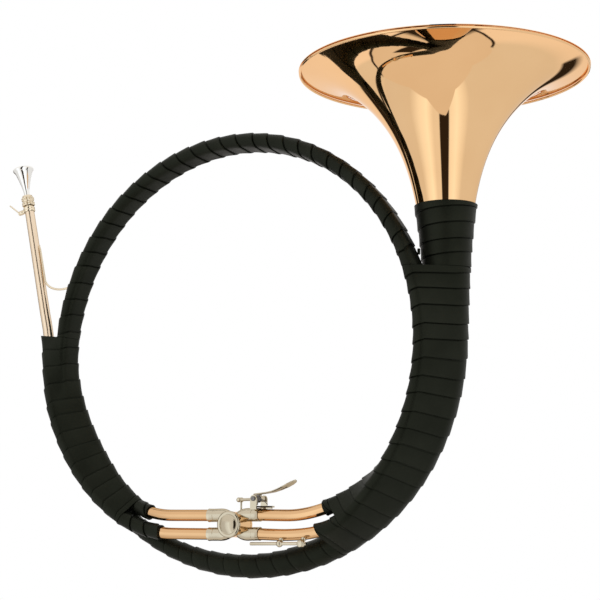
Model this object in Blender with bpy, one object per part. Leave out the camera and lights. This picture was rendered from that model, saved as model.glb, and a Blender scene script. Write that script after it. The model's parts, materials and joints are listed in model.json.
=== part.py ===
"""Hunting horn: a leather-wrapped ring with an upright bell and one rotary valve.

The ring stands in the XZ plane and is seen from -Y. Shapes are measured from the
ring's centre and hang from one empty, so that the world origin lies where a peg
carries the ring: on the leather at the inner side of its top.
"""

import math
from collections import namedtuple

import bmesh
import bpy
from mathutils import Vector

MM = 0.001

# General fits
GAP = 0.3 * MM
WRAP_GAP = 0.4 * MM

# Ring tubing
RING_RADIUS = 214.4 * MM
BACK_TURN_INSET = 1.6 * MM
TUBE_RADIUS = 5.75 * MM
PAIR_SPACING = 2 * TUBE_RADIUS + 1.3 * MM
TUBE_WALL = 0.55 * MM
TUBE_SIDES = 10
HIDDEN_SIDES = 8
CONE_SIDES = 12
RING_STEP = 10

# Leather: thickness at the two edges of each turn
LEATHER_HIGH = 2.1 * MM
LEATHER_LOW = 1.2 * MM
TURN_ANGLE = 5
WRAP_SIDES = 10
WIDE_WRAP_SIDES = 14
TAIL_WRAP_SIDES = 24
WRAP_END = 0.1
UPPER_CUFF_SHARE = 0.78

# Angles about the ring's centre, from the bell side up over the top
LEFT_START = 173
LEFT_END = 233
LOW_RIGHT_START = 299.5
RIGHT_START = 306.5
TURN_START = 313
CONE_START = 243
LOOP_JOINT = 333
RIGHT_LEVEL_START = 358
SPLIT_ANGLE = 23

# Bell and the cone that leads to it
BELL_X = RING_RADIUS + 10.1 * MM
BELL_Y = 36.8 * MM
MOUTH_Z = 264.5 * MM
BELL_JOINT_Z = 110.0 * MM
TAIL_WRAP_LOW_Z = 67.3 * MM
TAIL_WRAP_TOP_Z = 129.5 * MM
TAIL_WRAP_TURNS = 5
CONE_RADIUS = 22.85 * MM
CONE_TAPER = 0.0222
FLARE_RADIUS = 96.5 * MM
FLARE_LENGTH = 56.0 * MM
LIP_RADIUS = 23.15 * MM
LIP_LENGTH = 5.1 * MM
CONE_PATH_RADIUS = RING_RADIUS + 4.8 * MM
BELL_WALL = 0.6 * MM
BELL_SIDES = 36
BELL_DEPTHS = (0, 1.2, 3, 6, 11, 19, 30, 44, 61, 80, 102, 128)
RIM_WIRE_RADIUS = 1.2 * MM
RIM_WIRE_INSET = 1.4 * MM
RIM_WIRE_DROP = 1.85 * MM

# Leadpipe, tuning slide and mouthpiece, measured up the leadpipe's straight axis
LEAD_OUT = 18.5 * MM
LEAD_FOOT = Vector((-RING_RADIUS - LEAD_OUT, 0, 24.7 * MM))
LEAD_TILT = 12.52
LEAD_TOP = 154.0 * MM
LEAD_TOP_RADIUS = TUBE_RADIUS - 0.68 * MM
LEAD_LOW_RADIUS = TUBE_RADIUS - 0.25 * MM
LEAD_BEND_START = 4.4 * MM
SLIDE_END = LEAD_TOP - 54.0 * MM
SLIDE_RADIUS = LEAD_TOP_RADIUS - 1.07 * MM
SLIDE_BORE = SLIDE_RADIUS - 0.55 * MM
BEAD_LOW = LEAD_TOP + 2.0 * MM
BEAD_TOP = BEAD_LOW + 10.5 * MM
BEAD_RADIUS = SLIDE_RADIUS + 2.95 * MM
CLAMP_TOP = LEAD_TOP + 0.5 * MM
CLAMP_LOW = CLAMP_TOP - 5.5 * MM
CLAMP_RADIUS = LEAD_TOP_RADIUS + 1.18 * MM
EAR_REACH = 12.5 * MM
EAR_RADIUS = 2.5 * MM
THUMB_SCREW_RADIUS = 1.2 * MM
THUMB_SCREW_HEAD_RADIUS = 2.3 * MM
THROAT = BEAD_TOP + 6.5 * MM
MOUTHPIECE_END = THROAT - 28.0 * MM
MOUTHPIECE_TOP = THROAT + 27.5 * MM
SHANK_RADIUS = SLIDE_BORE - 0.3 * MM
SHANK_BORE = SHANK_RADIUS - 1.25 * MM
MOUTHPIECE_RADIUS = 11.5 * MM
CUP_RADIUS = 9.25 * MM

# Rotary valve: its axis runs along Y and its own depths are counted from VALVE
VALVE_RISE = 39.6 * MM
VALVE = Vector((6.0 * MM, 2.3 * MM, VALVE_RISE - RING_RADIUS))
PORT_RISE = TUBE_RADIUS + 3.5 * MM
CASING_RADIUS = 13.0 * MM
CASING_BORE = 11.2 * MM
CASING_FRONT = -9.5 * MM
CASING_FLOOR = 9.4 * MM
CASING_BACK = 12.4 * MM
NOSE_RADIUS = 5.5 * MM
NOSE_BACK = 15.0 * MM
ROTOR_RADIUS = 10.9 * MM
ROTOR_FRONT = -5.9 * MM
PLATE_THICKNESS = 2.95 * MM
PIVOT_RADIUS = 2.0 * MM
PIVOT_END = -9.0 * MM
STEM_RADIUS = 3.0 * MM
STEM_TIP_RADIUS = 2.2 * MM
STEM_END = 18.3 * MM
PASSAGE_RADIUS = 4.2 * MM
CAP_RADIUS = 13.2 * MM
CAP_THICKNESS = 3.0 * MM
SPIGOT_LENGTH = 0.35 * MM
KNUCKLE_RADIUS = TUBE_RADIUS + 0.85 * MM
KNUCKLE_BORE = TUBE_RADIUS - 0.5 * MM
FERRULE_END = 30.0 * MM
SOCKET_DEPTH = 7.5 * MM
VALVE_SIDES = 24

# Stop arm on the rotor's stem, and the two bumpers that end its turn
ROTOR_TURN = 90
STOP_RADIUS = 7.5 * MM
STOP_PIN_RADIUS = 0.9 * MM
STOP_HUB_RADIUS = 4.5 * MM
STOP_THICKNESS = 3.0 * MM
STOP_CRANK_REACH = 9.4 * MM
STOP_TAIL_REACH = 10.5 * MM
STOP_ARM_WIDTH = 4.4 * MM
BUMPER_RADIUS = 1.8 * MM
BUMPER_REACH = 9.3 * MM
BUMPER_HEIGHT = 5.7 * MM
STOP_SCREW_RADIUS = 2.4 * MM

# Thumb lever: stations of its blade are x, height of the underside above the hinge, width, in mm
HINGE_X = 34.0 * MM
HINGE_Z = VALVE.z + 24.8 * MM
HINGE_ROD_RADIUS = 1.4 * MM
POST_FRONT_Y = -8.0 * MM
POST_BACK_Y = 11.5 * MM
POST_THICKNESS = 1.5 * MM
POST_RADIUS = 3.6 * MM
BARREL_RADIUS = 2.5 * MM
BLADE_Y = 2.5 * MM
BLADE_THICKNESS = 1.4 * MM
BLADE_STATIONS = (
    (29.0, 4.0, 4.0), (36.0, 4.6, 5.5), (44.0, 5.4, 7.5), (51.0, 6.5, 10.0), (58.0, 8.7, 12.6),
    (65.0, 11.4, 14.4), (70.0, 13.7, 14.6), (74.0, 15.5, 11.5), (76.0, 16.5, 6.5),
)
HEEL_LOW_Y = 3.2 * MM
HEEL_HIGH_Y = 6.0 * MM
ARM_DEPTH = 1.8 * MM
ARM_HEIGHT = 2.4 * MM
ARM_START_Y = 8.6 * MM
ARM_END_Y = 18.3 * MM
LINK_Y = 22.5 * MM
LINK_THICKNESS = 2.4 * MM
LINK_RADIUS = 1.0 * MM
LINK_PIN_RADIUS = 1.0 * MM
EYE_RADIUS = 2.5 * MM
EYE_WALL = 0.9 * MM
SLOT_LEFT = 2.9 * MM
SLOT_PLAY = 0.5 * MM
PIN_OVERRUN = 0.8 * MM
SPRING_WIRE = 0.45 * MM
SPRING_RADIUS = 3.4 * MM
SPRING_TURNS = 5
SPRING_PITCH = 1.6 * MM
SPRING_STEPS = 9
SPRING_START_Y = -5.6 * MM

# Sliding rod under the lower right branch
ROD_RADIUS = 1.6 * MM
ROD_LEFT_X = 29.0 * MM
ROD_RIGHT_X = 92.0 * MM
ROD_Y = -5.0 * MM
ROD_Z = VALVE.z - 18.9 * MM
BALL_RADIUS = 3.4 * MM
LEFT_BALL_X = 62.3 * MM
RIGHT_BALL_X = 87.4 * MM
POST_NECK_RADIUS = 1.3 * MM
POST_FOOT_RADIUS = 2.6 * MM
ROD_SCREW_RADIUS = 0.9 * MM
ROD_SCREW_HEAD_RADIUS = 3.3 * MM

# Brace between the leadpipe and the ring
BRACE_RADIUS = 1.1 * MM
BRACE_TOP = 108.0 * MM
BRACE_LOW = 68.0 * MM
BRACE_END_ANGLE = 158.9
BRACE_END_GAP = 0.9 * MM

# Thong that ties the ring's wrap to the tail's
THONG_Z = 84.0 * MM
THONG_HEIGHT = 6.0 * MM
THONG_THICKNESS = 2.2 * MM

BACK_TURN_RADIUS = RING_RADIUS - BACK_TURN_INSET
HANG_HEIGHT = RING_RADIUS - BACK_TURN_INSET / 2 - TUBE_RADIUS - WRAP_GAP - LEATHER_HIGH
SHARP_ANGLE = math.radians(35)
LEAD_AXIS = Vector((-math.sin(math.radians(LEAD_TILT)), 0, math.cos(math.radians(LEAD_TILT))))
LEAD_SIDE = Vector((-LEAD_AXIS.z, 0, LEAD_AXIS.x))
HINGE = Vector((HINGE_X, 0, HINGE_Z))
STOP_REST_ANGLE = 180 + ROTOR_TURN / 2
LINK_X = VALVE.x + STOP_RADIUS * math.cos(math.radians(STOP_REST_ANGLE))

for old in list(bpy.data.objects):
    bpy.data.objects.remove(old)

ROOT = bpy.data.objects.new("horn_root", None)
ROOT.location = (0, -PAIR_SPACING / 2, -HANG_HEIGHT)
bpy.context.scene.collection.objects.link(ROOT)


def make_material(name, colour, metallic, roughness):
    material = bpy.data.materials.new(name)
    material.use_nodes = True
    shader = material.node_tree.nodes["Principled BSDF"]
    shader.inputs["Base Color"].default_value = (*colour, 1)
    shader.inputs["Metallic"].default_value = metallic
    shader.inputs["Roughness"].default_value = roughness
    return material


BRASS = make_material("gold_brass", (0.80, 0.52, 0.27), 1.0, 0.12)
NICKEL = make_material("nickel_silver", (0.62, 0.57, 0.48), 1.0, 0.18)
SILVER = make_material("silver_plate", (0.80, 0.79, 0.76), 1.0, 0.10)
LEATHER = make_material("black_leather", (0.012, 0.013, 0.010), 0.0, 0.45)
STEEL = make_material("spring_steel", (0.20, 0.18, 0.16), 1.0, 0.30)
CORK = make_material("bumper_cork", (0.30, 0.18, 0.09), 0.0, 0.85)


def add_object(name, data, material=None, location=(0, 0, 0), rotation=(0, 0, 0)):
    obj = bpy.data.objects.new(name, data)
    bpy.context.scene.collection.objects.link(obj)
    obj.parent = ROOT
    obj.location = location
    obj.rotation_euler = rotation
    if material is not None:
        data.materials.append(material)
    if obj.type == "MESH":
        data.shade_smooth()
        data.set_sharp_from_angle(angle=SHARP_ANGLE)
    return obj


def build_mesh(name, points, faces):
    shape = bmesh.new()
    corners = [shape.verts.new(point) for point in points]
    for face in faces:
        shape.faces.new([corners[index] for index in face])
    bmesh.ops.recalc_face_normals(shape, faces=shape.faces)
    mesh = bpy.data.meshes.new(name)
    shape.to_mesh(mesh)
    shape.free()
    return mesh


def loft(name, rings, material=None, closed=False, origin=(0, 0, 0)):
    """A skin over rings of equally many points: capped at its ends, or closed on itself."""
    sides = len(rings[0])
    points = [point - Vector(origin) for ring in rings for point in ring]
    faces = []
    for step in range(len(rings) if closed else len(rings) - 1):
        low = step * sides
        high = (step + 1) % len(rings) * sides
        for side in range(sides):
            after = (side + 1) % sides
            faces.append((low + side, low + after, high + after, high + side))
    if not closed:
        faces.append(tuple(range(sides)))
        faces.append(tuple(range(len(points) - sides, len(points))))
    return add_object(name, build_mesh(name, points, faces), material, location=origin)


def turned(name, profile, sides, material=None, closed=False, **placing):
    """A body turned about its own Z, from (radius, height) points."""
    points = []
    rows = []
    for radius, height in profile:
        count = 1 if radius == 0 else sides
        rows.append(range(len(points), len(points) + count))
        for side in range(count):
            angle = 2 * math.pi * (side + 0.5) / sides
            points.append((radius * math.cos(angle), radius * math.sin(angle), height))
    faces = []
    for index in range(len(rows) if closed else len(rows) - 1):
        low = rows[index]
        high = rows[(index + 1) % len(rows)]
        for side in range(sides):
            after = (side + 1) % sides
            corners = (low[side % len(low)], low[after % len(low)],
                       high[after % len(high)], high[side % len(high)])
            face = tuple(dict.fromkeys(corners))
            if len(face) > 2:
                faces.append(face)
    if not closed:
        faces += [tuple(row) for row in (rows[0], rows[-1]) if len(row) > 1]
    return add_object(name, build_mesh(name, points, faces), material, **placing)


def apply_boolean(obj, other, operation):
    other.hide_render = True
    other.display_type = "WIRE"
    modifier = obj.modifiers.new(operation.lower() + "_" + other.name, "BOOLEAN")
    modifier.operation = operation
    modifier.solver = "EXACT"
    modifier.object = other


def cut(obj, *cutters):
    for cutter in cutters:
        apply_boolean(obj, cutter, "DIFFERENCE")


def join(obj, *others):
    for other in others:
        apply_boolean(obj, other, "UNION")


def facing(axis):
    return Vector(axis).to_track_quat("Z", "Y").to_euler()


def bar(name, start, end, radius, material=None, sides=12):
    """A round bar between two points, with its origin at the first."""
    axis = Vector(end) - Vector(start)
    return turned(name, [(0, 0), (radius, 0), (radius, axis.length), (0, axis.length)],
                  sides, material, location=start, rotation=facing(axis))


def plate(name, corners, low, high, material=None, origin=(0, 0, 0)):
    """A flat plate in XZ, from an outline of (x, z) points, between two depths."""
    rings = [[Vector((x, depth, z)) for x, z in corners] for depth in (low, high)]
    return loft(name, rings, material, origin=origin)


def smooth(value):
    clipped = min(1.0, max(0.0, value))
    return clipped * clipped * (3 - 2 * clipped)


def between(low, high, share):
    return low + (high - low) * share


def curve_points(start, first_pull, last_pull, end, steps):
    """Points along a cubic curve from its two ends and two handles."""
    points = []
    for step in range(steps + 1):
        t = step / steps
        points.append(start * (1 - t) ** 3 + first_pull * 3 * t * (1 - t) ** 2
                      + last_pull * 3 * t * t * (1 - t) + end * t ** 3)
    return points


# Cutting planes: a half plane about the ring's centre, or a level one

Plane = namedtuple("Plane", "centre outward normal")


def at_angle(degrees):
    angle = math.radians(degrees)
    return Plane(Vector((0, 0, 0)), Vector((math.cos(angle), 0, math.sin(angle))),
                 Vector((-math.sin(angle), 0, math.cos(angle))))


def at_height(height):
    return Plane(Vector((0, 0, height)), Vector((1, 0, 0)), Vector((0, 0, 1)))


def on_plane(plane, out, depth):
    return plane.centre + plane.outward * out + Vector((0, depth, 0))


# Paths: every tube is a chain of stations

Station = namedtuple("Station", "point radius")


def tail_radius(depth):
    """Outer radius of the cone and the bell, by the distance below the bell's mouth."""
    return (CONE_RADIUS - CONE_TAPER * depth + FLARE_RADIUS * math.exp(-depth / FLARE_LENGTH)
            + LIP_RADIUS * math.exp(-depth / LIP_LENGTH))


def cone_radius(degrees):
    return tail_radius(MOUTH_Z + CONE_PATH_RADIUS * math.radians(360 - degrees))


def rolled_pair(degrees, side):
    """On the left the two turns roll about each other, so the back one ends inside."""
    share = smooth((degrees - 175) / 57)
    out = RING_RADIUS - between(0.8 * MM, 10.4 * MM, share)
    depth = between(6.4 * MM, 11.8 * MM, share)
    spread = between(12.9 * MM, 20.0 * MM, share) / 2
    roll = math.radians(between(96.8, 205.0, share))
    return out + side * spread * math.cos(roll), depth + side * spread * math.sin(roll)


def front_turn(degrees):
    """The front turn, which grows a little where it nears the cone."""
    out, depth = RING_RADIUS, 0.0
    if degrees > LEFT_START:
        out, depth = rolled_pair(degrees, -1)
    growth = smooth((degrees - 200) / (CONE_START - 200))
    radius = between(TUBE_RADIUS, cone_radius(CONE_START), growth)
    return Station(on_plane(at_angle(degrees), out, depth), radius)


def back_turn(degrees):
    out, depth = BACK_TURN_RADIUS, PAIR_SPACING
    if degrees > LEFT_START:
        out, depth = rolled_pair(degrees, 1)
    return Station(on_plane(at_angle(degrees), out, depth), TUBE_RADIUS)


def cone(degrees):
    """The cone runs along the bottom, then behind the two turns and up to the bell."""
    out = between(RING_RADIUS - 1.4 * MM, BELL_X, smooth((degrees - 245) / 85))
    depth = between(16.0 * MM, BELL_Y, smooth((degrees - 215) / 145))
    return Station(on_plane(at_angle(degrees), out, depth), cone_radius(degrees))


def upright_tail(height):
    return Station(Vector((BELL_X, BELL_Y, height)), tail_radius(MOUTH_Z - height))


def ring_stations(turn, start, end):
    steps = round((end - start) / RING_STEP)
    return [turn(between(start, end, step / steps)) for step in range(steps + 1)]


def by_ring(angle, out, depth):
    """A point at an angle, so far outside the front turn's middle and so deep, in mm."""
    return on_plane(at_angle(angle), RING_RADIUS + out * MM, depth * MM)


def placed(rows):
    return [Station(by_ring(*row), TUBE_RADIUS) for row in rows]


def branch(side, rise, by_valve, rows, steps):
    """From a port of the valve straight to the first handle, then one curve to the ring.

    The first two handles are (x, height) from the valve, in mm, and the last two are
    (angle, distance out, depth) rows.
    """
    points = [VALVE + Vector((side * PORT_X, 0, rise * PORT_RISE))]
    handles = [VALVE + Vector((x, 0, height)) * MM for x, height in by_valve]
    points += curve_points(*handles, *[by_ring(*row) for row in rows], steps)
    return [Station(point, TUBE_RADIUS) for point in points]


PORT_X = FERRULE_END - SOCKET_DEPTH
LOWER_RIGHT = branch(1, -1, ((56, -10.5), (86, -10.5)),
                     ((302.15, 1.15, 0), (308.00, 0.00, 0)), 6)
UPPER_RIGHT = branch(1, 1, ((60, 8.3), (81.7, 7.7)),
                     ((305.29, -17.77, 5.7), (313.00, -13.39, 8.65)), 6)
UPPER_LEFT = branch(-1, 1, ((-76, 9.9), (-93.6, 10.2)),
                    ((237.18, -23.06, 4.9), (233.00, -21.06, 6.47)), 5)
LOWER_LEFT = branch(-1, -1, ((-78, -8.2), (-98.2, -7.1)),
                    ((237.64, -6.28, -0.8), (233.00, -4.70, -3.7)), 5)

FIRST_TURN = ring_stations(front_turn, TURN_START - 360, LEFT_END)
CONE = ring_stations(cone, CONE_START, RIGHT_LEVEL_START - 5) + [cone(RIGHT_LEVEL_START)]
CONE += [upright_tail(height) for height in
         (11.2 * MM, 48.2 * MM, TAIL_WRAP_LOW_Z, 88 * MM, BELL_JOINT_Z - GAP / 2)]
BACK_TURN_ENTRY = placed(((323 - 360, -5.6, 11.95),))
BACK_TURN = ring_stations(back_turn, LOOP_JOINT - 360, LEFT_END - RING_STEP)
LEAD_STRAIGHT = [
    Station(LEAD_FOOT + LEAD_AXIS * between(LEAD_TOP, LEAD_BEND_START, step / 3),
            between(LEAD_TOP_RADIUS, LEAD_LOW_RADIUS, step / 3)) for step in range(4)]
LEAD_BEND = placed(((183, 12.8, -4.2), (193, 7.8, -8.7), (203, 4.6, -8.6), (213, 1.8, -7.6),
                    (223, -1.4, -6.2)))

MAIN_PATH = LOWER_RIGHT + FIRST_TURN + CONE
BACK_PATH = UPPER_RIGHT + BACK_TURN_ENTRY + BACK_TURN + UPPER_LEFT[::-1]
LEAD_PATH = LEAD_STRAIGHT + LEAD_BEND + LOWER_LEFT[::-1]


def crossing(path, plane):
    """Where a path first meets a plane: distance out, depth, radius and straightness."""
    for here, after in zip(path, path[1:]):
        before = (here.point - plane.centre).dot(plane.normal)
        beyond = (after.point - plane.centre).dot(plane.normal)
        if before * beyond <= 0 and before != beyond:
            share = before / (before - beyond)
            place = here.point.lerp(after.point, share) - plane.centre
            if place.dot(plane.outward) > 0:
                way = (after.point - here.point).normalized()
                radius = between(here.radius, after.radius, share)
                return place.dot(plane.outward), place.y, radius, abs(way.dot(plane.normal))
    raise ValueError("a path misses its plane")


def outline(plane, paths, growth, sides):
    """The tightest even-angled outline round several tubes, each grown by the same amount."""
    circles = []
    for path in paths:
        out, depth, radius, straightness = crossing(path, plane)
        circles.append((out, depth, (radius + growth) / straightness))
    step = 2 * math.pi / sides
    reaches = [max(out * math.cos(step * side) + depth * math.sin(step * side) + radius
                   for out, depth, radius in circles) for side in range(sides)]
    ring = []
    for side in range(sides):
        angle = step * side
        near = reaches[side]
        along = (reaches[(side + 1) % sides] - near * math.cos(step)) / math.sin(step)
        ring.append(on_plane(plane, near * math.cos(angle) - along * math.sin(angle),
                             near * math.sin(angle) + along * math.cos(angle)))
    return ring


def tangents_of(points):
    tangents = []
    for index in range(len(points)):
        before = points[max(index - 1, 0)]
        after = points[min(index + 1, len(points) - 1)]
        tangents.append((after - before).normalized())
    return tangents


def circle(centre, tangent, radius, sides):
    across = Vector((tangent.z, 0, -tangent.x)).normalized()
    ring = []
    for side in range(sides):
        angle = 2 * math.pi * (side + 0.5) / sides
        ring.append(centre + across * radius * math.cos(angle)
                    + Vector((0, radius * math.sin(angle), 0)))
    return ring


def rings_along(stations, growth, sides):
    tangents = tangents_of([station.point for station in stations])
    return [circle(station.point, tangent, station.radius + growth, sides)
            for station, tangent in zip(stations, tangents)]


def tube(name, path, first, last, sides=TUBE_SIDES):
    """The stretch of a path between two stations; a joint inside the path leaves a gap."""
    tangents = tangents_of([station.point for station in path])
    outer = []
    inner = []
    for index in range(first, last + 1):
        point, radius = path[index]
        if index == first > 0:
            point = point + tangents[index] * GAP / 2
        if index == last < len(path) - 1:
            point = point - tangents[index] * GAP / 2
        outer.append(circle(point, tangents[index], radius, sides))
        inner.append(circle(point, tangents[index], radius - TUBE_WALL, sides))
    return loft(name, outer + inner[::-1], BRASS, closed=True)


def lapped(name, planes, bore_planes, paths, sides):
    """A wound strip of leather: each turn starts high over the one before and falls low."""
    outer = []
    for first, last in zip(planes, planes[1:]):
        outer.append(outline(first, paths, WRAP_GAP + LEATHER_HIGH, sides))
        outer.append(outline(last, paths, WRAP_GAP + LEATHER_LOW, sides))
    bore = [outline(plane, paths, WRAP_GAP, sides) for plane in bore_planes]
    return loft(name, outer + bore[::-1], LEATHER, closed=True)


def sleeve(name, stations, path, square_end, end_plane):
    """A lapped sleeve over one branch, ended square to the ring where the bundle starts."""
    widening = 1 / math.cos(math.pi / WRAP_SIDES)
    tangents = tangents_of([station.point for station in stations])

    def ring(index, growth):
        if index == square_end:
            return outline(end_plane, [path], growth, WRAP_SIDES)
        station = stations[index]
        return circle(station.point, tangents[index], (station.radius + growth) * widening,
                      WRAP_SIDES)

    outer = []
    for index in range(len(stations) - 1):
        outer.append(ring(index, WRAP_GAP + LEATHER_HIGH))
        outer.append(ring(index + 1, WRAP_GAP + LEATHER_LOW))
    bore = [ring(index, WRAP_GAP) for index in range(len(stations))]
    return loft(name, outer + bore[::-1], LEATHER, closed=True)


def angles(start, end, step):
    count = round((end - start) / step)
    return [at_angle(between(start, end, index / count)) for index in range(count + 1)]


def make_tubes():
    turn_joint = len(LOWER_RIGHT) + 1
    cone_joint = len(LOWER_RIGHT) + len(FIRST_TURN)
    tube("lower_right_branch", MAIN_PATH, 0, turn_joint)
    tube("first_turn_tube", MAIN_PATH, turn_joint, cone_joint, sides=HIDDEN_SIDES)
    tube("cone_tube", MAIN_PATH, cone_joint, len(MAIN_PATH) - 1, sides=CONE_SIDES)
    back_joint = len(UPPER_RIGHT) + 1
    left_joint = back_joint + len(BACK_TURN) - 1
    tube("upper_right_branch", BACK_PATH, 0, back_joint)
    tube("back_turn_tube", BACK_PATH, back_joint, left_joint, sides=HIDDEN_SIDES)
    tube("upper_left_branch", BACK_PATH, left_joint, len(BACK_PATH) - 1)
    lead_joint = len(LEAD_STRAIGHT) + len(LEAD_BEND) - 1
    tube("leadpipe", LEAD_PATH, 0, lead_joint, sides=CONE_SIDES)
    tube("lower_left_branch", LEAD_PATH, lead_joint, len(LEAD_PATH) - 1)


def make_wraps():
    start = at_angle(RIGHT_START)
    levels = [at_height(RING_RADIUS * math.sin(math.radians(angle))) for angle in (3, 8, 13)]
    top = at_height(TAIL_WRAP_LOW_Z - GAP)
    low_planes = angles(TURN_START, RIGHT_LEVEL_START, TURN_ANGLE)
    lapped("right_wrap", [start] + low_planes + levels + [top],
           [start] + low_planes[:-1:2] + [low_planes[-1], levels[0], levels[2], top],
           (MAIN_PATH, BACK_PATH, CONE), WIDE_WRAP_SIDES)
    low = at_height(TAIL_WRAP_LOW_Z)
    end = LEFT_START - WRAP_END
    lapped("ring_wrap", [low] + angles(SPLIT_ANGLE, end, TURN_ANGLE),
           [low] + angles(SPLIT_ANGLE, LEFT_START - RING_STEP, RING_STEP) + [at_angle(end)],
           (MAIN_PATH, BACK_PATH), WRAP_SIDES)
    end = LEFT_END - WRAP_END
    lapped("left_wrap", angles(LEFT_START, end, TURN_ANGLE),
           angles(LEFT_START, LEFT_END - RING_STEP, RING_STEP) + [at_angle(end)],
           (MAIN_PATH, BACK_PATH, LEAD_PATH), WRAP_SIDES)
    end = LOW_RIGHT_START - WRAP_END
    lapped("bottom_wrap", angles(LEFT_END, end, TURN_ANGLE),
           angles(LEFT_END, CONE_START + 5 * RING_STEP, RING_STEP) + [at_angle(end)],
           (FIRST_TURN[-2:] + CONE,), WRAP_SIDES)
    planes = [at_angle(angle) for angle in
              (LOW_RIGHT_START, CONE_START + 6 * RING_STEP, RIGHT_START - WRAP_END)]
    lapped("lower_right_wrap", planes, planes, (MAIN_PATH, CONE), WRAP_SIDES)
    heights = [between(TAIL_WRAP_LOW_Z, TAIL_WRAP_TOP_Z, turn / TAIL_WRAP_TURNS)
               for turn in range(TAIL_WRAP_TURNS + 1)]
    planes = [at_height(height) for height in heights]
    lapped("tail_wrap", planes, planes, ([upright_tail(height) for height in heights],),
           TAIL_WRAP_SIDES)


def make_sleeves():
    right = at_angle(RIGHT_START - WRAP_END)
    left = at_angle(LEFT_END + WRAP_END)
    cuff = Station(UPPER_RIGHT[4].point.lerp(UPPER_RIGHT[5].point, UPPER_CUFF_SHARE), TUBE_RADIUS)
    sleeve("upper_right_sleeve", [cuff, UPPER_RIGHT[5]], BACK_PATH, 1, right)
    sleeve("upper_left_sleeve", UPPER_LEFT[:3:-1], BACK_PATH, 0, left)
    sleeve("lower_left_sleeve", LOWER_LEFT[:1:-1], LEAD_PATH, 0, left)


def make_thong():
    out, depth, ring_radius, _ = crossing(BACK_PATH, at_height(THONG_Z))
    ring_side = Vector((out, depth, THONG_Z))
    tail_side = Vector((BELL_X, BELL_Y, THONG_Z))
    way = (tail_side - ring_side).normalized()
    leather = WRAP_GAP + LEATHER_HIGH + 2 * GAP
    start = ring_side + way * (ring_radius + leather + GAP)
    end = tail_side - way * (tail_radius(MOUTH_Z - THONG_Z) + leather)
    across = Vector((-way.y, way.x, 0)) * THONG_THICKNESS / 2
    lift = Vector((0, 0, THONG_HEIGHT / 2))
    rings = [[place - across - lift, place + across - lift,
              place + across + lift, place - across + lift] for place in (start, end)]
    loft("leather_thong", rings, LEATHER)


def make_bell():
    heights = [MOUTH_Z - depth * MM for depth in BELL_DEPTHS] + [BELL_JOINT_Z + GAP / 2]
    outer = [Vector((tail_radius(MOUTH_Z - height), height)) for height in heights]
    inner = [point + Vector((way.y, -way.x)) * BELL_WALL
             for point, way in zip(outer, tangents_of(outer))]
    turned("bell", [tuple(point) for point in outer + inner[::-1]], BELL_SIDES, BRASS,
           closed=True, location=(BELL_X, BELL_Y, 0))
    centre = tail_radius(0) - RIM_WIRE_INSET
    wire = []
    for corner in range(6):
        angle = math.pi * (corner + 0.5) / 3
        wire.append((centre + RIM_WIRE_RADIUS * math.cos(angle),
                     MOUTH_Z - RIM_WIRE_DROP + RIM_WIRE_RADIUS * math.sin(angle)))
    turned("bell_rim_wire", wire, BELL_SIDES, BRASS, closed=True, location=(BELL_X, BELL_Y, 0))


def up_lead(name, profile, sides, material=None, closed=False):
    return turned(name, profile, sides, material, closed=closed, location=LEAD_FOOT,
                  rotation=(0, -math.radians(LEAD_TILT), 0))


def make_mouthpiece():
    top = MOUTHPIECE_TOP
    up_lead("mouthpiece", [
        (SHANK_RADIUS - 0.25 * MM, MOUTHPIECE_END),
        (SHANK_RADIUS, THROAT - 1 * MM),
        (SHANK_RADIUS + 0.3 * MM, THROAT + 2 * MM),
        (MOUTHPIECE_RADIUS - 1.9 * MM, top - 5.0 * MM),
        (MOUTHPIECE_RADIUS - 0.6 * MM, top - 3.2 * MM),
        (MOUTHPIECE_RADIUS, top - 1.8 * MM),
        (MOUTHPIECE_RADIUS - 0.3 * MM, top - 0.4 * MM),
        (MOUTHPIECE_RADIUS - 1.1 * MM, top),
        (CUP_RADIUS + 0.4 * MM, top - 0.4 * MM),
        (CUP_RADIUS, top - 1.4 * MM),
        (CUP_RADIUS - 2.2 * MM, top - 7 * MM),
        (SHANK_BORE, THROAT + 4 * MM),
        (SHANK_BORE, MOUTHPIECE_END),
    ], 20, SILVER, closed=True)


def make_tuning_slide():
    middle = (BEAD_LOW + BEAD_TOP) / 2
    up_lead("tuning_slide", [
        (SLIDE_RADIUS, SLIDE_END),
        (SLIDE_RADIUS, BEAD_LOW),
        (BEAD_RADIUS - 0.8 * MM, BEAD_LOW),
        (BEAD_RADIUS, BEAD_LOW + 0.8 * MM),
        (BEAD_RADIUS, middle - 1.4 * MM),
        (BEAD_RADIUS - 1.0 * MM, middle - 0.6 * MM),
        (BEAD_RADIUS - 1.0 * MM, middle + 0.6 * MM),
        (BEAD_RADIUS, middle + 1.4 * MM),
        (BEAD_RADIUS, BEAD_TOP - 1.4 * MM),
        (BEAD_RADIUS - 1.1 * MM, BEAD_TOP),
        (SLIDE_RADIUS + 1.2 * MM, BEAD_TOP + 1.5 * MM),
        (SLIDE_BORE, BEAD_TOP + 1.5 * MM),
        (SLIDE_BORE, SLIDE_END),
    ], 16, NICKEL, closed=True)


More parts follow.
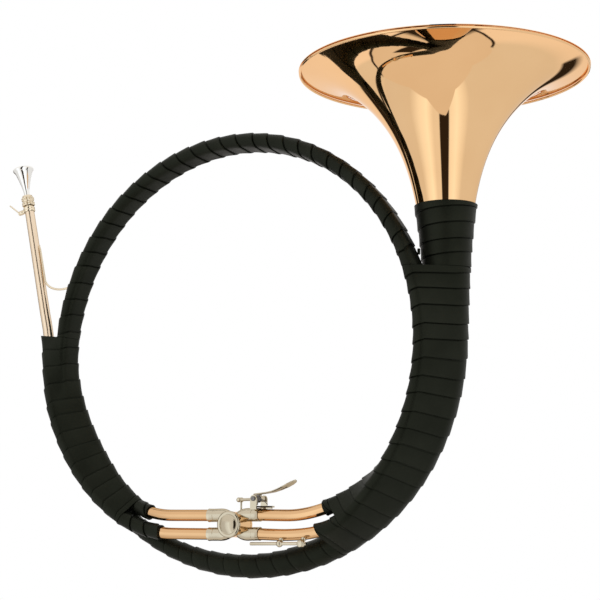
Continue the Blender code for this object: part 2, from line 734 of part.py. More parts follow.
def make_clamp():
    bore = LEAD_TOP_RADIUS + WRAP_GAP
    ring = up_lead("slide_clamp_ring", [
        (0, CLAMP_LOW),
        (CLAMP_RADIUS - 0.5 * MM, CLAMP_LOW),
        (CLAMP_RADIUS, CLAMP_LOW + 0.8 * MM),
        (CLAMP_RADIUS, CLAMP_TOP - 0.8 * MM),
        (CLAMP_RADIUS - 0.5 * MM, CLAMP_TOP),
        (0, CLAMP_TOP),
    ], 20, NICKEL)
    middle = LEAD_FOOT + LEAD_AXIS * (CLAMP_LOW + CLAMP_TOP) / 2
    ear = bar("clamp_ear", middle + LEAD_SIDE * 2 * MM, middle + LEAD_SIDE * EAR_REACH,
              EAR_RADIUS, sides=16)
    join(ring, ear)
    cut(ring, up_lead("clamp_bore", [
        (0, CLAMP_LOW - 2 * MM), (bore, CLAMP_LOW - 2 * MM),
        (bore, CLAMP_TOP + 2 * MM), (0, CLAMP_TOP + 2 * MM)], 20))
    cut(ring, bar("clamp_hole", middle + LEAD_SIDE * 2 * MM,
                  middle + LEAD_SIDE * (EAR_REACH + 2 * MM), THUMB_SCREW_RADIUS + GAP))
    tip = LEAD_TOP_RADIUS + GAP
    head = EAR_REACH + GAP
    screw = turned("clamp_thumb_screw", [
        (0, tip), (THUMB_SCREW_RADIUS, tip), (THUMB_SCREW_RADIUS, head),
        (THUMB_SCREW_HEAD_RADIUS, head), (THUMB_SCREW_HEAD_RADIUS, head + 1.6 * MM),
        (0, head + 2.2 * MM),
    ], 12, NICKEL, location=middle, rotation=facing(LEAD_SIDE))
    grip = middle + LEAD_SIDE * (head + 0.8 * MM)
    join(screw, bar("thumb_screw_grip", grip, grip + Vector((-15.0, 0, 10.5)) * MM,
                    0.75 * MM, sides=8))


def make_brace():
    """Wire that lies along the leadpipe and bends across to the ring."""
    def beside(along):
        pipe = between(LEAD_LOW_RADIUS, LEAD_TOP_RADIUS, along / LEAD_TOP)
        return LEAD_FOOT + LEAD_AXIS * along - LEAD_SIDE * (pipe + GAP + BRACE_RADIUS)

    reach = RING_RADIUS + TUBE_RADIUS + WRAP_GAP + LEATHER_HIGH + BRACE_END_GAP
    bend = beside(BRACE_LOW)
    points = [beside(BRACE_TOP)] + curve_points(
        bend, bend - LEAD_AXIS * 11 * MM, LEAD_FOOT + Vector((10.9, 0, 52.7)) * MM,
        on_plane(at_angle(BRACE_END_ANGLE), reach, 0), 6)
    loft("pipe_brace", [circle(point, tangent, BRACE_RADIUS, 8)
                        for point, tangent in zip(points, tangents_of(points))], NICKEL)


# Valve: turned bodies lie along Y, and their heights are depths from the valve's centre

ALONG_Y = (-math.pi / 2, 0, 0)


def along_valve(name, profile, material=None, closed=False, sides=VALVE_SIDES):
    return turned(name, profile, sides, material, closed=closed, location=VALVE,
                  rotation=ALONG_Y)


def valve_point(reach, degrees, depth):
    angle = math.radians(degrees)
    return VALVE + Vector((reach * math.cos(angle), depth, reach * math.sin(angle)))


def make_casing():
    hole = STEM_RADIUS + GAP
    casing = along_valve("valve_casing", [
        (CASING_RADIUS, CASING_FRONT), (CASING_RADIUS, CASING_BACK),
        (NOSE_RADIUS, CASING_BACK), (NOSE_RADIUS, NOSE_BACK), (hole, NOSE_BACK),
        (hole, CASING_FLOOR), (CASING_BORE, CASING_FLOOR), (CASING_BORE, CASING_FRONT),
    ], BRASS, closed=True)
    reach = CASING_RADIUS + 3 * MM
    for name, angle in (("rising_ports", 45), ("falling_ports", 135)):
        cut(casing, bar(name, valve_point(reach, angle, 0), valve_point(reach, angle + 180, 0),
                        KNUCKLE_BORE - 0.05 * MM))


def make_rotor():
    """At rest the upper passage joins the loop's two ends and the lower one the main tubes."""
    back = CASING_FLOOR - GAP
    rotor = along_valve("valve_rotor", [
        (0, PIVOT_END), (PIVOT_RADIUS, PIVOT_END), (PIVOT_RADIUS, ROTOR_FRONT),
        (ROTOR_RADIUS, ROTOR_FRONT), (ROTOR_RADIUS, back), (STEM_RADIUS, back),
        (STEM_RADIUS, NOSE_BACK + GAP), (STEM_TIP_RADIUS, NOSE_BACK + GAP),
        (STEM_TIP_RADIUS, STEM_END), (0, STEM_END),
    ], NICKEL)
    for name, rise in (("upper_passage", 1), ("lower_passage", -1)):
        handles = ((8.5, 8.5), (3.5, 3.5), (-3.5, 3.5), (-8.5, 8.5))
        points = curve_points(*[VALVE + Vector((x, 0, rise * z)) * MM for x, z in handles], 5)
        points.insert(0, points[0] * 1.5 - points[1] * 0.5 + (points[0] - points[1]))
        points.append(points[-1] * 2.5 - points[-2] * 1.5)
        cut(rotor, loft(name, [circle(point, tangent, PASSAGE_RADIUS, 8)
                               for point, tangent in zip(points, tangents_of(points))]))


def make_bearing_plate():
    hole = PIVOT_RADIUS + GAP
    back = ROTOR_FRONT - GAP
    along_valve("bearing_plate", [
        (hole, back - PLATE_THICKNESS), (ROTOR_RADIUS, back - PLATE_THICKNESS),
        (ROTOR_RADIUS, back), (hole, back),
    ], NICKEL, closed=True)


def make_cap():
    back = CASING_FRONT - GAP
    front = back - CAP_THICKNESS
    spigot = ROTOR_RADIUS - 0.1 * MM
    along_valve("valve_cap", [
        (0, front + 0.5 * MM), (9.6 * MM, front + 0.5 * MM), (10.2 * MM, front),
        (11.9 * MM, front), (CAP_RADIUS, front + 1.1 * MM), (CAP_RADIUS, back),
        (spigot, back), (spigot, back + SPIGOT_LENGTH), (0, back + SPIGOT_LENGTH),
    ], NICKEL)


def make_knuckles():
    port = PORT_RISE / MM
    handles = ((7, port - 2.25), (10.6, port + 1.35), (15, port), (21, port))
    for name, side, rise in (("upper_right_knuckle", 1, 1), ("lower_right_knuckle", 1, -1),
                             ("upper_left_knuckle", -1, 1), ("lower_left_knuckle", -1, -1)):
        path = curve_points(
            *[VALVE + Vector((side * x, 0, rise * z)) * MM for x, z in handles], 4)
        shoulder = VALVE + Vector((side * (PORT_X - GAP), 0, rise * PORT_RISE))
        end = VALVE + Vector((side * FERRULE_END, 0, rise * PORT_RISE))
        path += [shoulder, end]
        tangents = tangents_of(path)
        outer = [circle(p, t, KNUCKLE_RADIUS, TUBE_SIDES) for p, t in zip(path, tangents)]
        inner = [circle(p, t, KNUCKLE_BORE, TUBE_SIDES) for p, t in zip(path[:-1], tangents)]
        socket = [circle(p, tangents[-1], TUBE_RADIUS + GAP, TUBE_SIDES) for p in (end, shoulder)]
        knuckle = loft(name, outer + socket + inner[::-1], NICKEL, closed=True)
        cut(knuckle, along_valve("casing_" + name, [
            (0, CASING_FRONT * 2), (CASING_RADIUS + GAP, CASING_FRONT * 2),
            (CASING_RADIUS + GAP, CASING_BACK * 2), (0, CASING_BACK * 2)]))


def make_stop_arm():
    low = NOSE_BACK + 2 * GAP
    high = low + STOP_THICKNESS
    bore = STEM_TIP_RADIUS + GAP
    arm = along_valve("stop_arm", [
        (bore, low), (STOP_HUB_RADIUS, low), (STOP_HUB_RADIUS, high), (bore, high),
    ], NICKEL, closed=True, sides=20)
    inside = bore + 0.6 * MM
    for name, angle, reach in (("stop_crank", STOP_REST_ANGLE, STOP_CRANK_REACH),
                               ("stop_tail", STOP_REST_ANGLE - 180, STOP_TAIL_REACH)):
        turn = math.radians(angle)
        across = Vector((-math.sin(turn), 0, math.cos(turn))) * STOP_ARM_WIDTH / 2
        corners = ((inside, -1), (reach - 1 * MM, -1), (reach, -0.5), (reach, 0.5),
                   (reach - 1 * MM, 1), (inside, 1))
        join(arm, loft(name, [[valve_point(out, angle, depth) + across * side
                               for out, side in corners]
                              for depth in (low + 0.1 * MM, high - 0.1 * MM)]))
    pin_end = LINK_Y - VALVE.y + LINK_THICKNESS / 2 + PIN_OVERRUN
    join(arm, bar("stop_pin", valve_point(STOP_RADIUS, STOP_REST_ANGLE, low + 1 * MM),
                  valve_point(STOP_RADIUS, STOP_REST_ANGLE, pin_end), STOP_PIN_RADIUS))
    start = high + GAP
    along_valve("stop_screw", [
        (0, start), (STOP_SCREW_RADIUS, start), (STOP_SCREW_RADIUS, start + 0.9 * MM),
        (STOP_SCREW_RADIUS - 0.6 * MM, start + 1.4 * MM), (0, start + 1.4 * MM),
    ], STEEL, sides=16)


def make_bumpers():
    """The stop arm's tail comes to rest on one cork at each end of the rotor's turn."""
    seat = CASING_BACK + GAP
    reach = STOP_ARM_WIDTH / 2 + BUMPER_RADIUS + GAP
    lean = math.degrees(math.asin(reach / BUMPER_REACH))
    rest = STOP_REST_ANGLE - 180
    for name, angle in (("rest_bumper", rest + lean), ("pressed_bumper", rest - ROTOR_TURN - lean)):
        bar(name, valve_point(BUMPER_REACH, angle, seat),
            valve_point(BUMPER_REACH, angle, seat + BUMPER_HEIGHT), BUMPER_RADIUS, CORK)


def make_lever():
    """A barrel on the hinge rod, the thumb blade to its right and the link's arm to its left."""
    bore = HINGE_ROD_RADIUS + GAP
    low = POST_FRONT_Y + POST_THICKNESS + GAP
    high = POST_BACK_Y - GAP
    lever = turned("thumb_lever", [
        (bore, low), (BARREL_RADIUS, low), (BARREL_RADIUS, high), (bore, high),
    ], 16, NICKEL, closed=True, location=HINGE, rotation=ALONG_Y)
    rings = []
    for x, z, width in BLADE_STATIONS:
        half = width * MM / 2
        rings.append([HINGE + Vector((x * MM - HINGE_X, BLADE_Y + side * half,
                                      z * MM + rise * BLADE_THICKNESS))
                      for side, rise in ((-1, 0), (1, 0), (1, 1), (-1, 1))])
    blade = loft("lever_blade", rings)
    heel_low = HINGE_Z + bore + 0.3 * MM
    heel_top = HINGE_Z + BLADE_STATIONS[1][1] * MM + BLADE_THICKNESS / 2
    heel = plate("lever_heel", [
        (HINGE_X - 1.6 * MM, heel_low), (HINGE_X + 1.6 * MM, heel_low),
        (HINGE_X + 2.6 * MM, heel_top), (HINGE_X - 2.6 * MM, heel_top)],
        HEEL_LOW_Y, HEEL_HIGH_Y)
    rings = []
    for x, y in ((HINGE_X - bore - 0.4 * MM, ARM_START_Y), (17 * MM, 14.0 * MM),
                 (LINK_X + 1.5 * MM, ARM_END_Y), (LINK_X - 1.6 * MM, ARM_END_Y)):
        rings.append([Vector((x, y + side * ARM_DEPTH / 2, HINGE_Z + rise * ARM_HEIGHT / 2))
                      for side, rise in ((-1, -1), (1, -1), (1, 1), (-1, 1))])
    arm = loft("lever_arm", rings)
    pin = bar("link_pin", Vector((LINK_X, ARM_END_Y, HINGE_Z)),
              Vector((LINK_X, LINK_Y + LINK_THICKNESS / 2 + PIN_OVERRUN, HINGE_Z)),
              LINK_PIN_RADIUS)
    join(lever, heel, blade, arm, pin)


def make_saddle():
    """A foot on the upper right branch with two ears that carry the hinge rod."""
    low = VALVE.z + PORT_RISE + KNUCKLE_RADIUS + GAP
    left = HINGE_X - POST_RADIUS
    right = HINGE_X + POST_RADIUS
    back = POST_BACK_Y + POST_THICKNESS
    corners = ((left, POST_FRONT_Y), (right, POST_FRONT_Y), (48 * MM, VALVE.y - 4 * MM),
               (51 * MM, VALVE.y - 2 * MM), (51 * MM, VALVE.y + 2 * MM),
               (48 * MM, VALVE.y + 4 * MM), (right, back), (left, back))
    saddle = loft("lever_saddle", [[Vector((x, y, z)) for x, y in corners]
                                   for z in (low, low + POST_THICKNESS)], NICKEL)
    foot_low = VALVE.z + PORT_RISE + TUBE_RADIUS - GAP / 2
    foot = plate("saddle_foot", [(40 * MM, foot_low), (49 * MM, foot_low),
                                 (49 * MM, low + 1 * MM), (40 * MM, low + 1 * MM)],
                 VALVE.y - 1.5 * MM, VALVE.y + 1.5 * MM)
    join(saddle, foot)
    for name, start in (("front", POST_FRONT_Y), ("back", POST_BACK_Y)):
        ear = [(left, low - 2 * MM), (right, low - 2 * MM)]
        for step in range(9):
            angle = math.pi * step / 8
            ear.append((HINGE_X + POST_RADIUS * math.cos(angle),
                        HINGE_Z + POST_RADIUS * math.sin(angle)))
        join(saddle, plate("saddle_ear_" + name, ear, start - 0.1 * MM,
                           start + POST_THICKNESS + 0.1 * MM))
    cut(saddle, bar("hinge_hole", HINGE + Vector((0, POST_FRONT_Y - 3 * MM, 0)),
                    HINGE + Vector((0, back + 3 * MM, 0)), HINGE_ROD_RADIUS + GAP))


def make_hinge_rod():
    head = POST_FRONT_Y - 0.1 * MM - GAP
    tail = POST_BACK_Y + POST_THICKNESS + 1.2 * MM
    turned("hinge_rod", [
        (0, head - 1.4 * MM), (1.9 * MM, head - 1.4 * MM), (2.4 * MM, head - 0.9 * MM),
        (2.4 * MM, head), (HINGE_ROD_RADIUS, head), (HINGE_ROD_RADIUS, tail), (0, tail),
    ], 16, STEEL, location=HINGE, rotation=ALONG_Y)


def make_spring():
    """Torsion spring round the lever's barrel, from the saddle to under the blade."""
    coil = []
    for step in range(SPRING_TURNS * SPRING_STEPS + 1):
        angle = 2 * math.pi * step / SPRING_STEPS
        coil.append(Vector((SPRING_RADIUS * math.cos(angle),
                            SPRING_START_Y + SPRING_PITCH * step / SPRING_STEPS,
                            SPRING_RADIUS * math.sin(angle))))
    gaps = [(near - far).length for index, near in enumerate(coil)
            for far in coil[index + SPRING_STEPS - 2:]]
    print("least gap between the spring's turns, mm:",
          round((min(gaps) - 2 * SPRING_WIRE) / MM, 2))
    foot = coil[0] + Vector((0.3, 0, -6.2)) * MM
    tip = coil[-1] + Vector((1.6, 0, 3.9)) * MM
    curve = bpy.data.curves.new("return_spring", "CURVE")
    curve.dimensions = "3D"
    curve.bevel_depth = SPRING_WIRE
    curve.bevel_resolution = 1
    curve.use_fill_caps = True
    spline = curve.splines.new("POLY")
    spline.points.add(len(coil) + 1)
    for place, point in zip(spline.points, [foot] + coil + [tip]):
        place.co = (*point, 1)
    add_object("return_spring", curve, STEEL, location=HINGE)


def make_link():
    """The lower eye is a slot, since the stop arm's pin swings while the link stays upright."""
    low = LINK_Y - LINK_THICKNESS / 2
    high = LINK_Y + LINK_THICKNESS / 2
    bottom = VALVE.z + STOP_RADIUS * math.sin(math.radians(STOP_REST_ANGLE))
    half = STOP_PIN_RADIUS + SLOT_PLAY
    left = LINK_X - SLOT_LEFT - STOP_PIN_RADIUS
    right = LINK_X + GAP + STOP_PIN_RADIUS
    link = plate("link_rod", [
        (left, bottom - half - EYE_WALL), (right, bottom - half - EYE_WALL),
        (right + EYE_WALL, bottom - half), (right + EYE_WALL, bottom + half),
        (right, bottom + half + EYE_WALL), (left, bottom + half + EYE_WALL),
        (left - EYE_WALL, bottom + half), (left - EYE_WALL, bottom - half)],
        low, high, NICKEL, origin=(LINK_X, LINK_Y, HINGE_Z))
    cut(link, plate("link_slot", [
        (left, bottom - half), (right, bottom - half), (right, bottom + half),
        (left, bottom + half)], low - 1 * MM, high + 1 * MM))
    join(link, bar("link_bar", Vector((LINK_X, LINK_Y, bottom + half + GAP)),
                   Vector((LINK_X, LINK_Y, HINGE_Z - 1.6 * MM)), LINK_RADIUS),
         bar("link_eye", Vector((LINK_X, low + 0.1 * MM, HINGE_Z)),
             Vector((LINK_X, high - 0.1 * MM, HINGE_Z)), EYE_RADIUS, sides=16))
    cut(link, bar("link_hole", Vector((LINK_X, low - 1 * MM, HINGE_Z)),
                  Vector((LINK_X, high + 1 * MM, HINGE_Z)), LINK_PIN_RADIUS + GAP))


def make_rod_group():
    """A round rod in two ball posts on the lower right branch, held by a small screw."""
    bar("sliding_rod", Vector((ROD_LEFT_X, ROD_Y, ROD_Z)),
        Vector((ROD_RIGHT_X, ROD_Y, ROD_Z)), ROD_RADIUS, NICKEL)
    for name, x in (("left_ball_post", LEFT_BALL_X), ("right_ball_post", RIGHT_BALL_X)):
        ball = Vector((x, ROD_Y, ROD_Z))
        upright = Plane(Vector((x, 0, -RING_RADIUS * 2)), Vector((0, 0, 1)), Vector((1, 0, 0)))
        out, depth, _, _ = crossing(LOWER_RIGHT, upright)
        way = on_plane(upright, out, depth) - ball
        reach = way.length - TUBE_RADIUS - GAP
        profile = [(0, -BALL_RADIUS)]
        for step in range(1, 7):
            angle = math.pi * step / 8
            profile.append((BALL_RADIUS * math.sin(angle), -BALL_RADIUS * math.cos(angle)))
        profile += [(POST_NECK_RADIUS, BALL_RADIUS), (POST_NECK_RADIUS, reach - 0.8 * MM),
                    (POST_FOOT_RADIUS, reach - 0.8 * MM), (POST_FOOT_RADIUS, reach + 1.5 * MM),
                    (0, reach + 1.5 * MM)]
        post = turned(name, profile, 10, NICKEL, location=ball, rotation=facing(way))
        cut(post, loft("branch_under_" + name, rings_along(LOWER_RIGHT, GAP, TUBE_SIDES)),
            bar("rod_hole_" + name, ball - Vector((5 * MM, 0, 0)), ball + Vector((5 * MM, 0, 0)),
                ROD_RADIUS + GAP))
    cut(bpy.data.objects["right_ball_post"],
        bar("screw_hole", Vector((RIGHT_BALL_X, ROD_Y - 5 * MM, ROD_Z)),
            Vector((RIGHT_BALL_X, ROD_Y, ROD_Z)), ROD_SCREW_RADIUS + GAP))
    tip = ROD_RADIUS + GAP
    seat = BALL_RADIUS + GAP
    turned("rod_clamp_screw", [
        (0, tip), (ROD_SCREW_RADIUS, tip), (ROD_SCREW_RADIUS, seat),
        (ROD_SCREW_HEAD_RADIUS, seat), (ROD_SCREW_HEAD_RADIUS, seat + 1.3 * MM),
        (0, seat + 1.7 * MM),
    ], 16, NICKEL, location=(RIGHT_BALL_X, ROD_Y, ROD_Z), rotation=(math.pi / 2, 0, 0))


make_tubes()
make_wraps()
make_sleeves()
make_thong()
make_bell()
make_mouthpiece()
make_tuning_slide()
make_clamp()
make_brace()
make_casing()
make_rotor()
make_bearing_plate()
make_cap()
make_knuckles()
make_stop_arm()
make_bumpers()
make_lever()
make_saddle()
make_hinge_rod()
make_spring()
make_link()
make_rod_group()
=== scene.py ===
"""Looks of the hunting horn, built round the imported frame.

Every piece is made in metres about the ring's centre and carried to its place there.
The photograph's camera looks at the horn from below and to the right.
"""

import json
import math
from collections import namedtuple

import bmesh
import bpy
import numpy as np
from mathutils import Matrix, Vector

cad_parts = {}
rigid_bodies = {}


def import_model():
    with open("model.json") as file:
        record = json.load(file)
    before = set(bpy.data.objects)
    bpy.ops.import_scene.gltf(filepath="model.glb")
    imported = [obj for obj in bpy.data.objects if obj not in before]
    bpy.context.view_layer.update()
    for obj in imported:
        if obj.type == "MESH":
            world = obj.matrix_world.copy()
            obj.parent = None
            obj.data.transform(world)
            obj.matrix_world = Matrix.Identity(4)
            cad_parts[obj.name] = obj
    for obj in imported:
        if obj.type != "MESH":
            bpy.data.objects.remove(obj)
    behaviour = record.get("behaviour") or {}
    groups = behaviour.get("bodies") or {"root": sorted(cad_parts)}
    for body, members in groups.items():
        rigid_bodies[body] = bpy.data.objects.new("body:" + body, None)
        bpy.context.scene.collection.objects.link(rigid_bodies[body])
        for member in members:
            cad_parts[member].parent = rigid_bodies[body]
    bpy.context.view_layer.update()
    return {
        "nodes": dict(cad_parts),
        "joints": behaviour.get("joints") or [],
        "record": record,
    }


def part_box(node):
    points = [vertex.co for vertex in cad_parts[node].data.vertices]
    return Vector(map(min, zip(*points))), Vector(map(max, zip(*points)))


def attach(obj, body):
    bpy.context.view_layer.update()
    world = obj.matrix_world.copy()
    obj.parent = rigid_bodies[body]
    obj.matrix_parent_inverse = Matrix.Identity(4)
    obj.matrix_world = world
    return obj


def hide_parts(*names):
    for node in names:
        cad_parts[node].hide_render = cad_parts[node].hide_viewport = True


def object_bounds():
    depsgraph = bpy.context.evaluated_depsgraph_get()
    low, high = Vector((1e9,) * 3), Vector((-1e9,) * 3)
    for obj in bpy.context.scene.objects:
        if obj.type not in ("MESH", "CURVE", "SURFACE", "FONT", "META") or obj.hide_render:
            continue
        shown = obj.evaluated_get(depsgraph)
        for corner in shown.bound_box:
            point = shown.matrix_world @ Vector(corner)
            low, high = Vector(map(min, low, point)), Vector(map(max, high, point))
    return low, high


for old in list(bpy.data.objects):
    bpy.data.objects.remove(old)

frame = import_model()

MM = 0.001

# The valve's centre, counted from the ring's centre, and where the frame puts it
VALVE = np.array((6.0, 2.3, -174.8)) * MM
JOINTS = {joint["name"]: joint for joint in frame["joints"]}
CENTRE = Vector(JOINTS["rotor_turn"]["pos_m"]) - Vector(VALVE)
BODY = "horn_body"

# Tubing and leather, as in the solids
RING_RADIUS = 214.4 * MM
BACK_TURN_RADIUS = 212.8 * MM
PAIR_SPACING = 12.8 * MM
TUBE_RADIUS = 5.75 * MM
TUBE_WALL = 0.55 * MM
WRAP_GAP = 0.4 * MM
LEATHER_HIGH = 2.1 * MM
LEATHER_LOW = 1.2 * MM
SEAM_DEPTH = 0.35 * MM
LEFT_START = 173
LEFT_END = 233
LOW_RIGHT_START = 299.5
RIGHT_START = 306.5
TURN_START = 313
CONE_START = 243
RIGHT_LEVEL_START = 358
SPLIT_ANGLE = 23
TURN_ANGLE = 5.0
RIGHT_TURN_ANGLE = 4.4
TAIL_PITCH = 14.6 * MM
MEETING_ANGLE = 0.1
PATH_STEPS = 8

# The two turns roll over each other on the left: values where that starts and where it ends
ROLL_START = 175
ROLL_ANGLE = 57
PAIR_OUT = (213.6 * MM, 204.0 * MM)
PAIR_DEPTH = (6.4 * MM, 11.8 * MM)
PAIR_SPREAD = (12.9 * MM, 20.0 * MM)
PAIR_ROLL = (96.8, 205.0)
SWELL_START = 200

# The cone drifts outward and back from these values: (angle of the start, angle it takes)
CONE_OUT = 213.0 * MM
OUT_DRIFT = (245, 85)
CONE_DEPTH = 16.0 * MM
DEPTH_DRIFT = (215, 145)

# Bell
BELL_X = 224.5 * MM
BELL_Y = 36.8 * MM
MOUTH_Z = 264.5 * MM
TAIL_WRAP_LOW_Z = 67.3 * MM
TAIL_WRAP_TOP_Z = 129.5 * MM
CONE_RADIUS = 22.85 * MM
CONE_TAPER = 0.0222
FLARE_RADIUS = 96.5 * MM
FLARE_LENGTH = 56.0 * MM
LIP_RADIUS = 23.15 * MM
LIP_LENGTH = 5.1 * MM
CONE_PATH_RADIUS = 219.2 * MM
BELL_WALL = 0.6 * MM
BELL_LENGTH = 154.3 * MM
RIM_WIRE_RADIUS = 1.2 * MM
RIM_WIRE_INSET = 1.4 * MM
RIM_WIRE_DROP = 1.85 * MM

# Leadpipe
LEAD_FOOT = np.array((-232.9, 0, 24.7)) * MM
LEAD_TILT = math.radians(12.52)
LEAD_AXIS = np.array((-math.sin(LEAD_TILT), 0, math.cos(LEAD_TILT)))
LEAD_SIDE = np.array((-LEAD_AXIS[2], 0, LEAD_AXIS[0]))
LEAD_TOP = 154.0 * MM
LEAD_TOP_RADIUS = 5.07 * MM
LEAD_LOW_RADIUS = 5.5 * MM
CLAMP_HEIGHT = 151.75 * MM
KNURL_HEIGHTS = (156.9 * MM, 165.3 * MM)
KNURL_RADIUS = 6.2 * MM
KNURL_DEPTH = 0.9 * MM
KNURL_NOTCHES = 13
BRACE_RADIUS = 1.1 * MM

# The valve's ports from its centre and a ferrule's rows of x and radius, in millimetres
PORT_X = 22.5
PORT_RISE = 9.25
KNUCKLE_RADIUS = 6.6
FERRULE = ((22.2, 6.6), (22.4, 6.35), (22.8, 6.35), (23.0, 6.6), (26, 6.6), (28.8, 6.6),
           (29.2, 6.75), (29.8, 6.75), (30, 6.5), (30, 6.05), (24, 6.05))

# Lever work and finger rod
LEVER_HINGE = np.array((34, 0, -150)) * MM
LINK_X = 0.697 * MM
SPRING_RADIUS = 3.4 * MM
SPRING_PITCH = 1.6 * MM
SPRING_TURNS = 5
SPRING_START_Y = -5.6 * MM
SPRING_WIRE = 0.45 * MM
ROD_START = np.array((29, -5, -193.7)) * MM
BALL_RADIUS = 3.4 * MM
BALL_X = {"left_ball_post": 62.3 * MM, "right_ball_post": 87.4 * MM}

# The photograph's camera, counted from the ring's centre
CAMERA_PLACE = Vector((0.8670, -1.3325, -0.2003))
CAMERA_AZIMUTH = math.radians(30.49)
CAMERA_ELEVATION = math.radians(-8.97)
CAMERA_LENS = 95.26
CAMERA_SENSOR = 36.0

# The floor's half width and distance below the horn, and the even light round the horn
FLOOR_REACH = 2.5
FLOOR_DROP = 0.35
FILL_LIGHT = (0.62, 0.62, 0.62)


# Materials

def new_material(name):
    material = bpy.data.materials.new(name)
    material.use_nodes = True
    return material, material.node_tree, material.node_tree.nodes["Principled BSDF"]


def feed(socket, value):
    """Links an input to an output, or sets its value."""
    if isinstance(value, bpy.types.NodeSocket):
        socket.id_data.links.new(value, socket)
    else:
        socket.default_value = value


def set_inputs(node, **values):
    """Feeds inputs by their names, where an underscore stands for a space."""
    for name, value in values.items():
        feed(node.inputs[name.replace("_", " ")], value)


def add_node(tree, kind, **values):
    node = tree.nodes.new("ShaderNode" + kind)
    set_inputs(node, **values)
    return node


def noise(tree, scale, detail, stretch=(1.0, 1.0, 1.0)):
    place = add_node(tree, "TexCoord").outputs["Object"]
    place = add_node(tree, "Mapping", Scale=stretch, Vector=place).outputs["Vector"]
    return add_node(tree, "TexNoise", Scale=scale, Detail=detail, Vector=place).outputs["Fac"]


def cells(tree, scale):
    place = add_node(tree, "TexCoord").outputs["Object"]
    return add_node(tree, "TexVoronoi", Scale=scale, Vector=place).outputs["Distance"]


def ramp(tree, source, *stops):
    """Colours along a value, from (value, colour) stops."""
    node = add_node(tree, "ValToRGB", Fac=source)
    elements = node.color_ramp.elements
    while len(elements) < len(stops):
        elements.new(0.5)
    for element, (place, colour) in zip(elements, stops):
        element.position = place
        element.color = (*colour, 1)
    return node.outputs["Color"]


def ranged(tree, value, low, high):
    return add_node(tree, "MapRange", Value=value, To_Min=low, To_Max=high).outputs["Result"]


def bump(tree, height, distance, strength, **before):
    node = add_node(tree, "Bump", Height=height, Distance=distance, Strength=strength, **before)
    return node.outputs["Normal"]


def mixed(tree, share, first, second, blend="MIX"):
    first, second = ((*colour, 1) if isinstance(colour, tuple) else colour
                     for colour in (first, second))
    mix = add_node(tree, "Mix")
    mix.data_type = "RGBA"
    mix.blend_type = blend
    set_inputs(mix, Factor=share, A=first, B=second)
    return mix.outputs["Result"]


def make_metal(name, light, deep, smoothness, coat=0.0, edge=(1.0, 1.0, 1.0)):
    """Polished metal: slow drifts of tint, faint polishing lines and a few dull patches."""
    material, tree, shader = new_material(name)
    tint = ramp(tree, noise(tree, 14.0, 3.0), (0.3, deep), (0.7, light))
    patches = ranged(tree, noise(tree, 90.0, 5.0), *smoothness)
    lines = bump(tree, noise(tree, 260.0, 3.0, stretch=(1.0, 1.0, 0.08)), 0.00002, 0.12)
    set_inputs(shader, Base_Color=tint, Metallic=1.0, Roughness=patches, Normal=lines,
               Specular_Tint=(*edge, 1))
    if coat:
        set_inputs(shader, Coat_Weight=coat, Coat_Roughness=0.04, Coat_IOR=1.45)
    return material


def make_leather(name):
    """Smooth dyed leather: fine pores, faint creases, a dark cut edge with painted shadow at each seam,
    a painted highlight on each lap's raised edge and painted shade where a band runs under the next lap.
    """
    material, tree, shader = new_material(name)
    dye = ramp(tree, noise(tree, 38.0, 5.0),
               (0.30, (0.0042, 0.0045, 0.0033)), (0.70, (0.0085, 0.0090, 0.0066)))
    lap = add_node(tree, "Attribute")
    lap.attribute_name = "lap"
    # Painted light and shade along each lap: painted shadow at the seam over the leather's dark cut
    # edge, a painted highlight on the raised edge just past it, and painted shade before the next seam
    edge = ramp(tree, lap.outputs["Fac"],
                (0.0, (0.03, 0.03, 0.02)), (0.016, (0.12, 0.12, 0.12)), (0.05, (1.2, 1.2, 1.2)),
                (0.5, (1.0, 1.0, 1.0)), (0.90, (0.85, 0.85, 0.85)), (0.96, (0.06, 0.05, 0.04)))
    pores = bump(tree, cells(tree, 1500.0), 0.00012, 0.35)
    creases = bump(tree, noise(tree, 330.0, 6.0), 0.0003, 0.30, Normal=pores)
    set_inputs(shader, Base_Color=mixed(tree, 1.0, dye, edge, "MULTIPLY"), Normal=creases,
               Roughness=ranged(tree, noise(tree, 70.0, 4.0), 0.34, 0.58),
               Specular_IOR_Level=0.15, Specular_Tint=(0.88, 1.0, 0.70, 1))
    return material


def make_cork(name):
    material, tree, shader = new_material(name)
    grains = cells(tree, 1800.0)
    tint = ramp(tree, grains, (0.2, (0.16, 0.09, 0.04)), (0.8, (0.36, 0.22, 0.11)))
    set_inputs(shader, Base_Color=tint, Roughness=0.9, Normal=bump(tree, grains, 0.0002, 0.5))
    return material


BRASS = make_metal("lacquered_gold_brass", (0.88, 0.57, 0.30), (0.84, 0.53, 0.27), (0.015, 0.05), 0.2,
                   (0.90, 0.78, 0.64))
TUBE_BRASS = make_metal("drawn_gold_brass", (0.76, 0.48, 0.255), (0.70, 0.43, 0.22), (0.03, 0.08), 0.15,
                        (0.28, 0.19, 0.12))
NICKEL = make_metal("polished_nickel_silver", (0.64, 0.57, 0.44), (0.56, 0.49, 0.37), (0.05, 0.12), 0.0,
                    (0.45, 0.40, 0.33))
PALE_BRASS = make_metal("pale_gold_brass", (0.87, 0.72, 0.56), (0.82, 0.66, 0.49), (0.14, 0.20), 0.0,
                        (0.40, 0.30, 0.20))
PALE_NICKEL = make_metal("warm_nickel_silver", (0.86, 0.75, 0.58), (0.80, 0.68, 0.50), (0.04, 0.10), 0.0,
                         (0.35, 0.28, 0.20))
SILVER = make_metal("silver_plating", (0.90, 0.89, 0.87), (0.84, 0.83, 0.81), (0.05, 0.11))
STEEL = make_metal("blued_steel", (0.30, 0.29, 0.28), (0.20, 0.19, 0.19), (0.22, 0.36))
LEATHER = make_leather("black_wrapped_leather")
CORK = make_cork("bumper_cork")

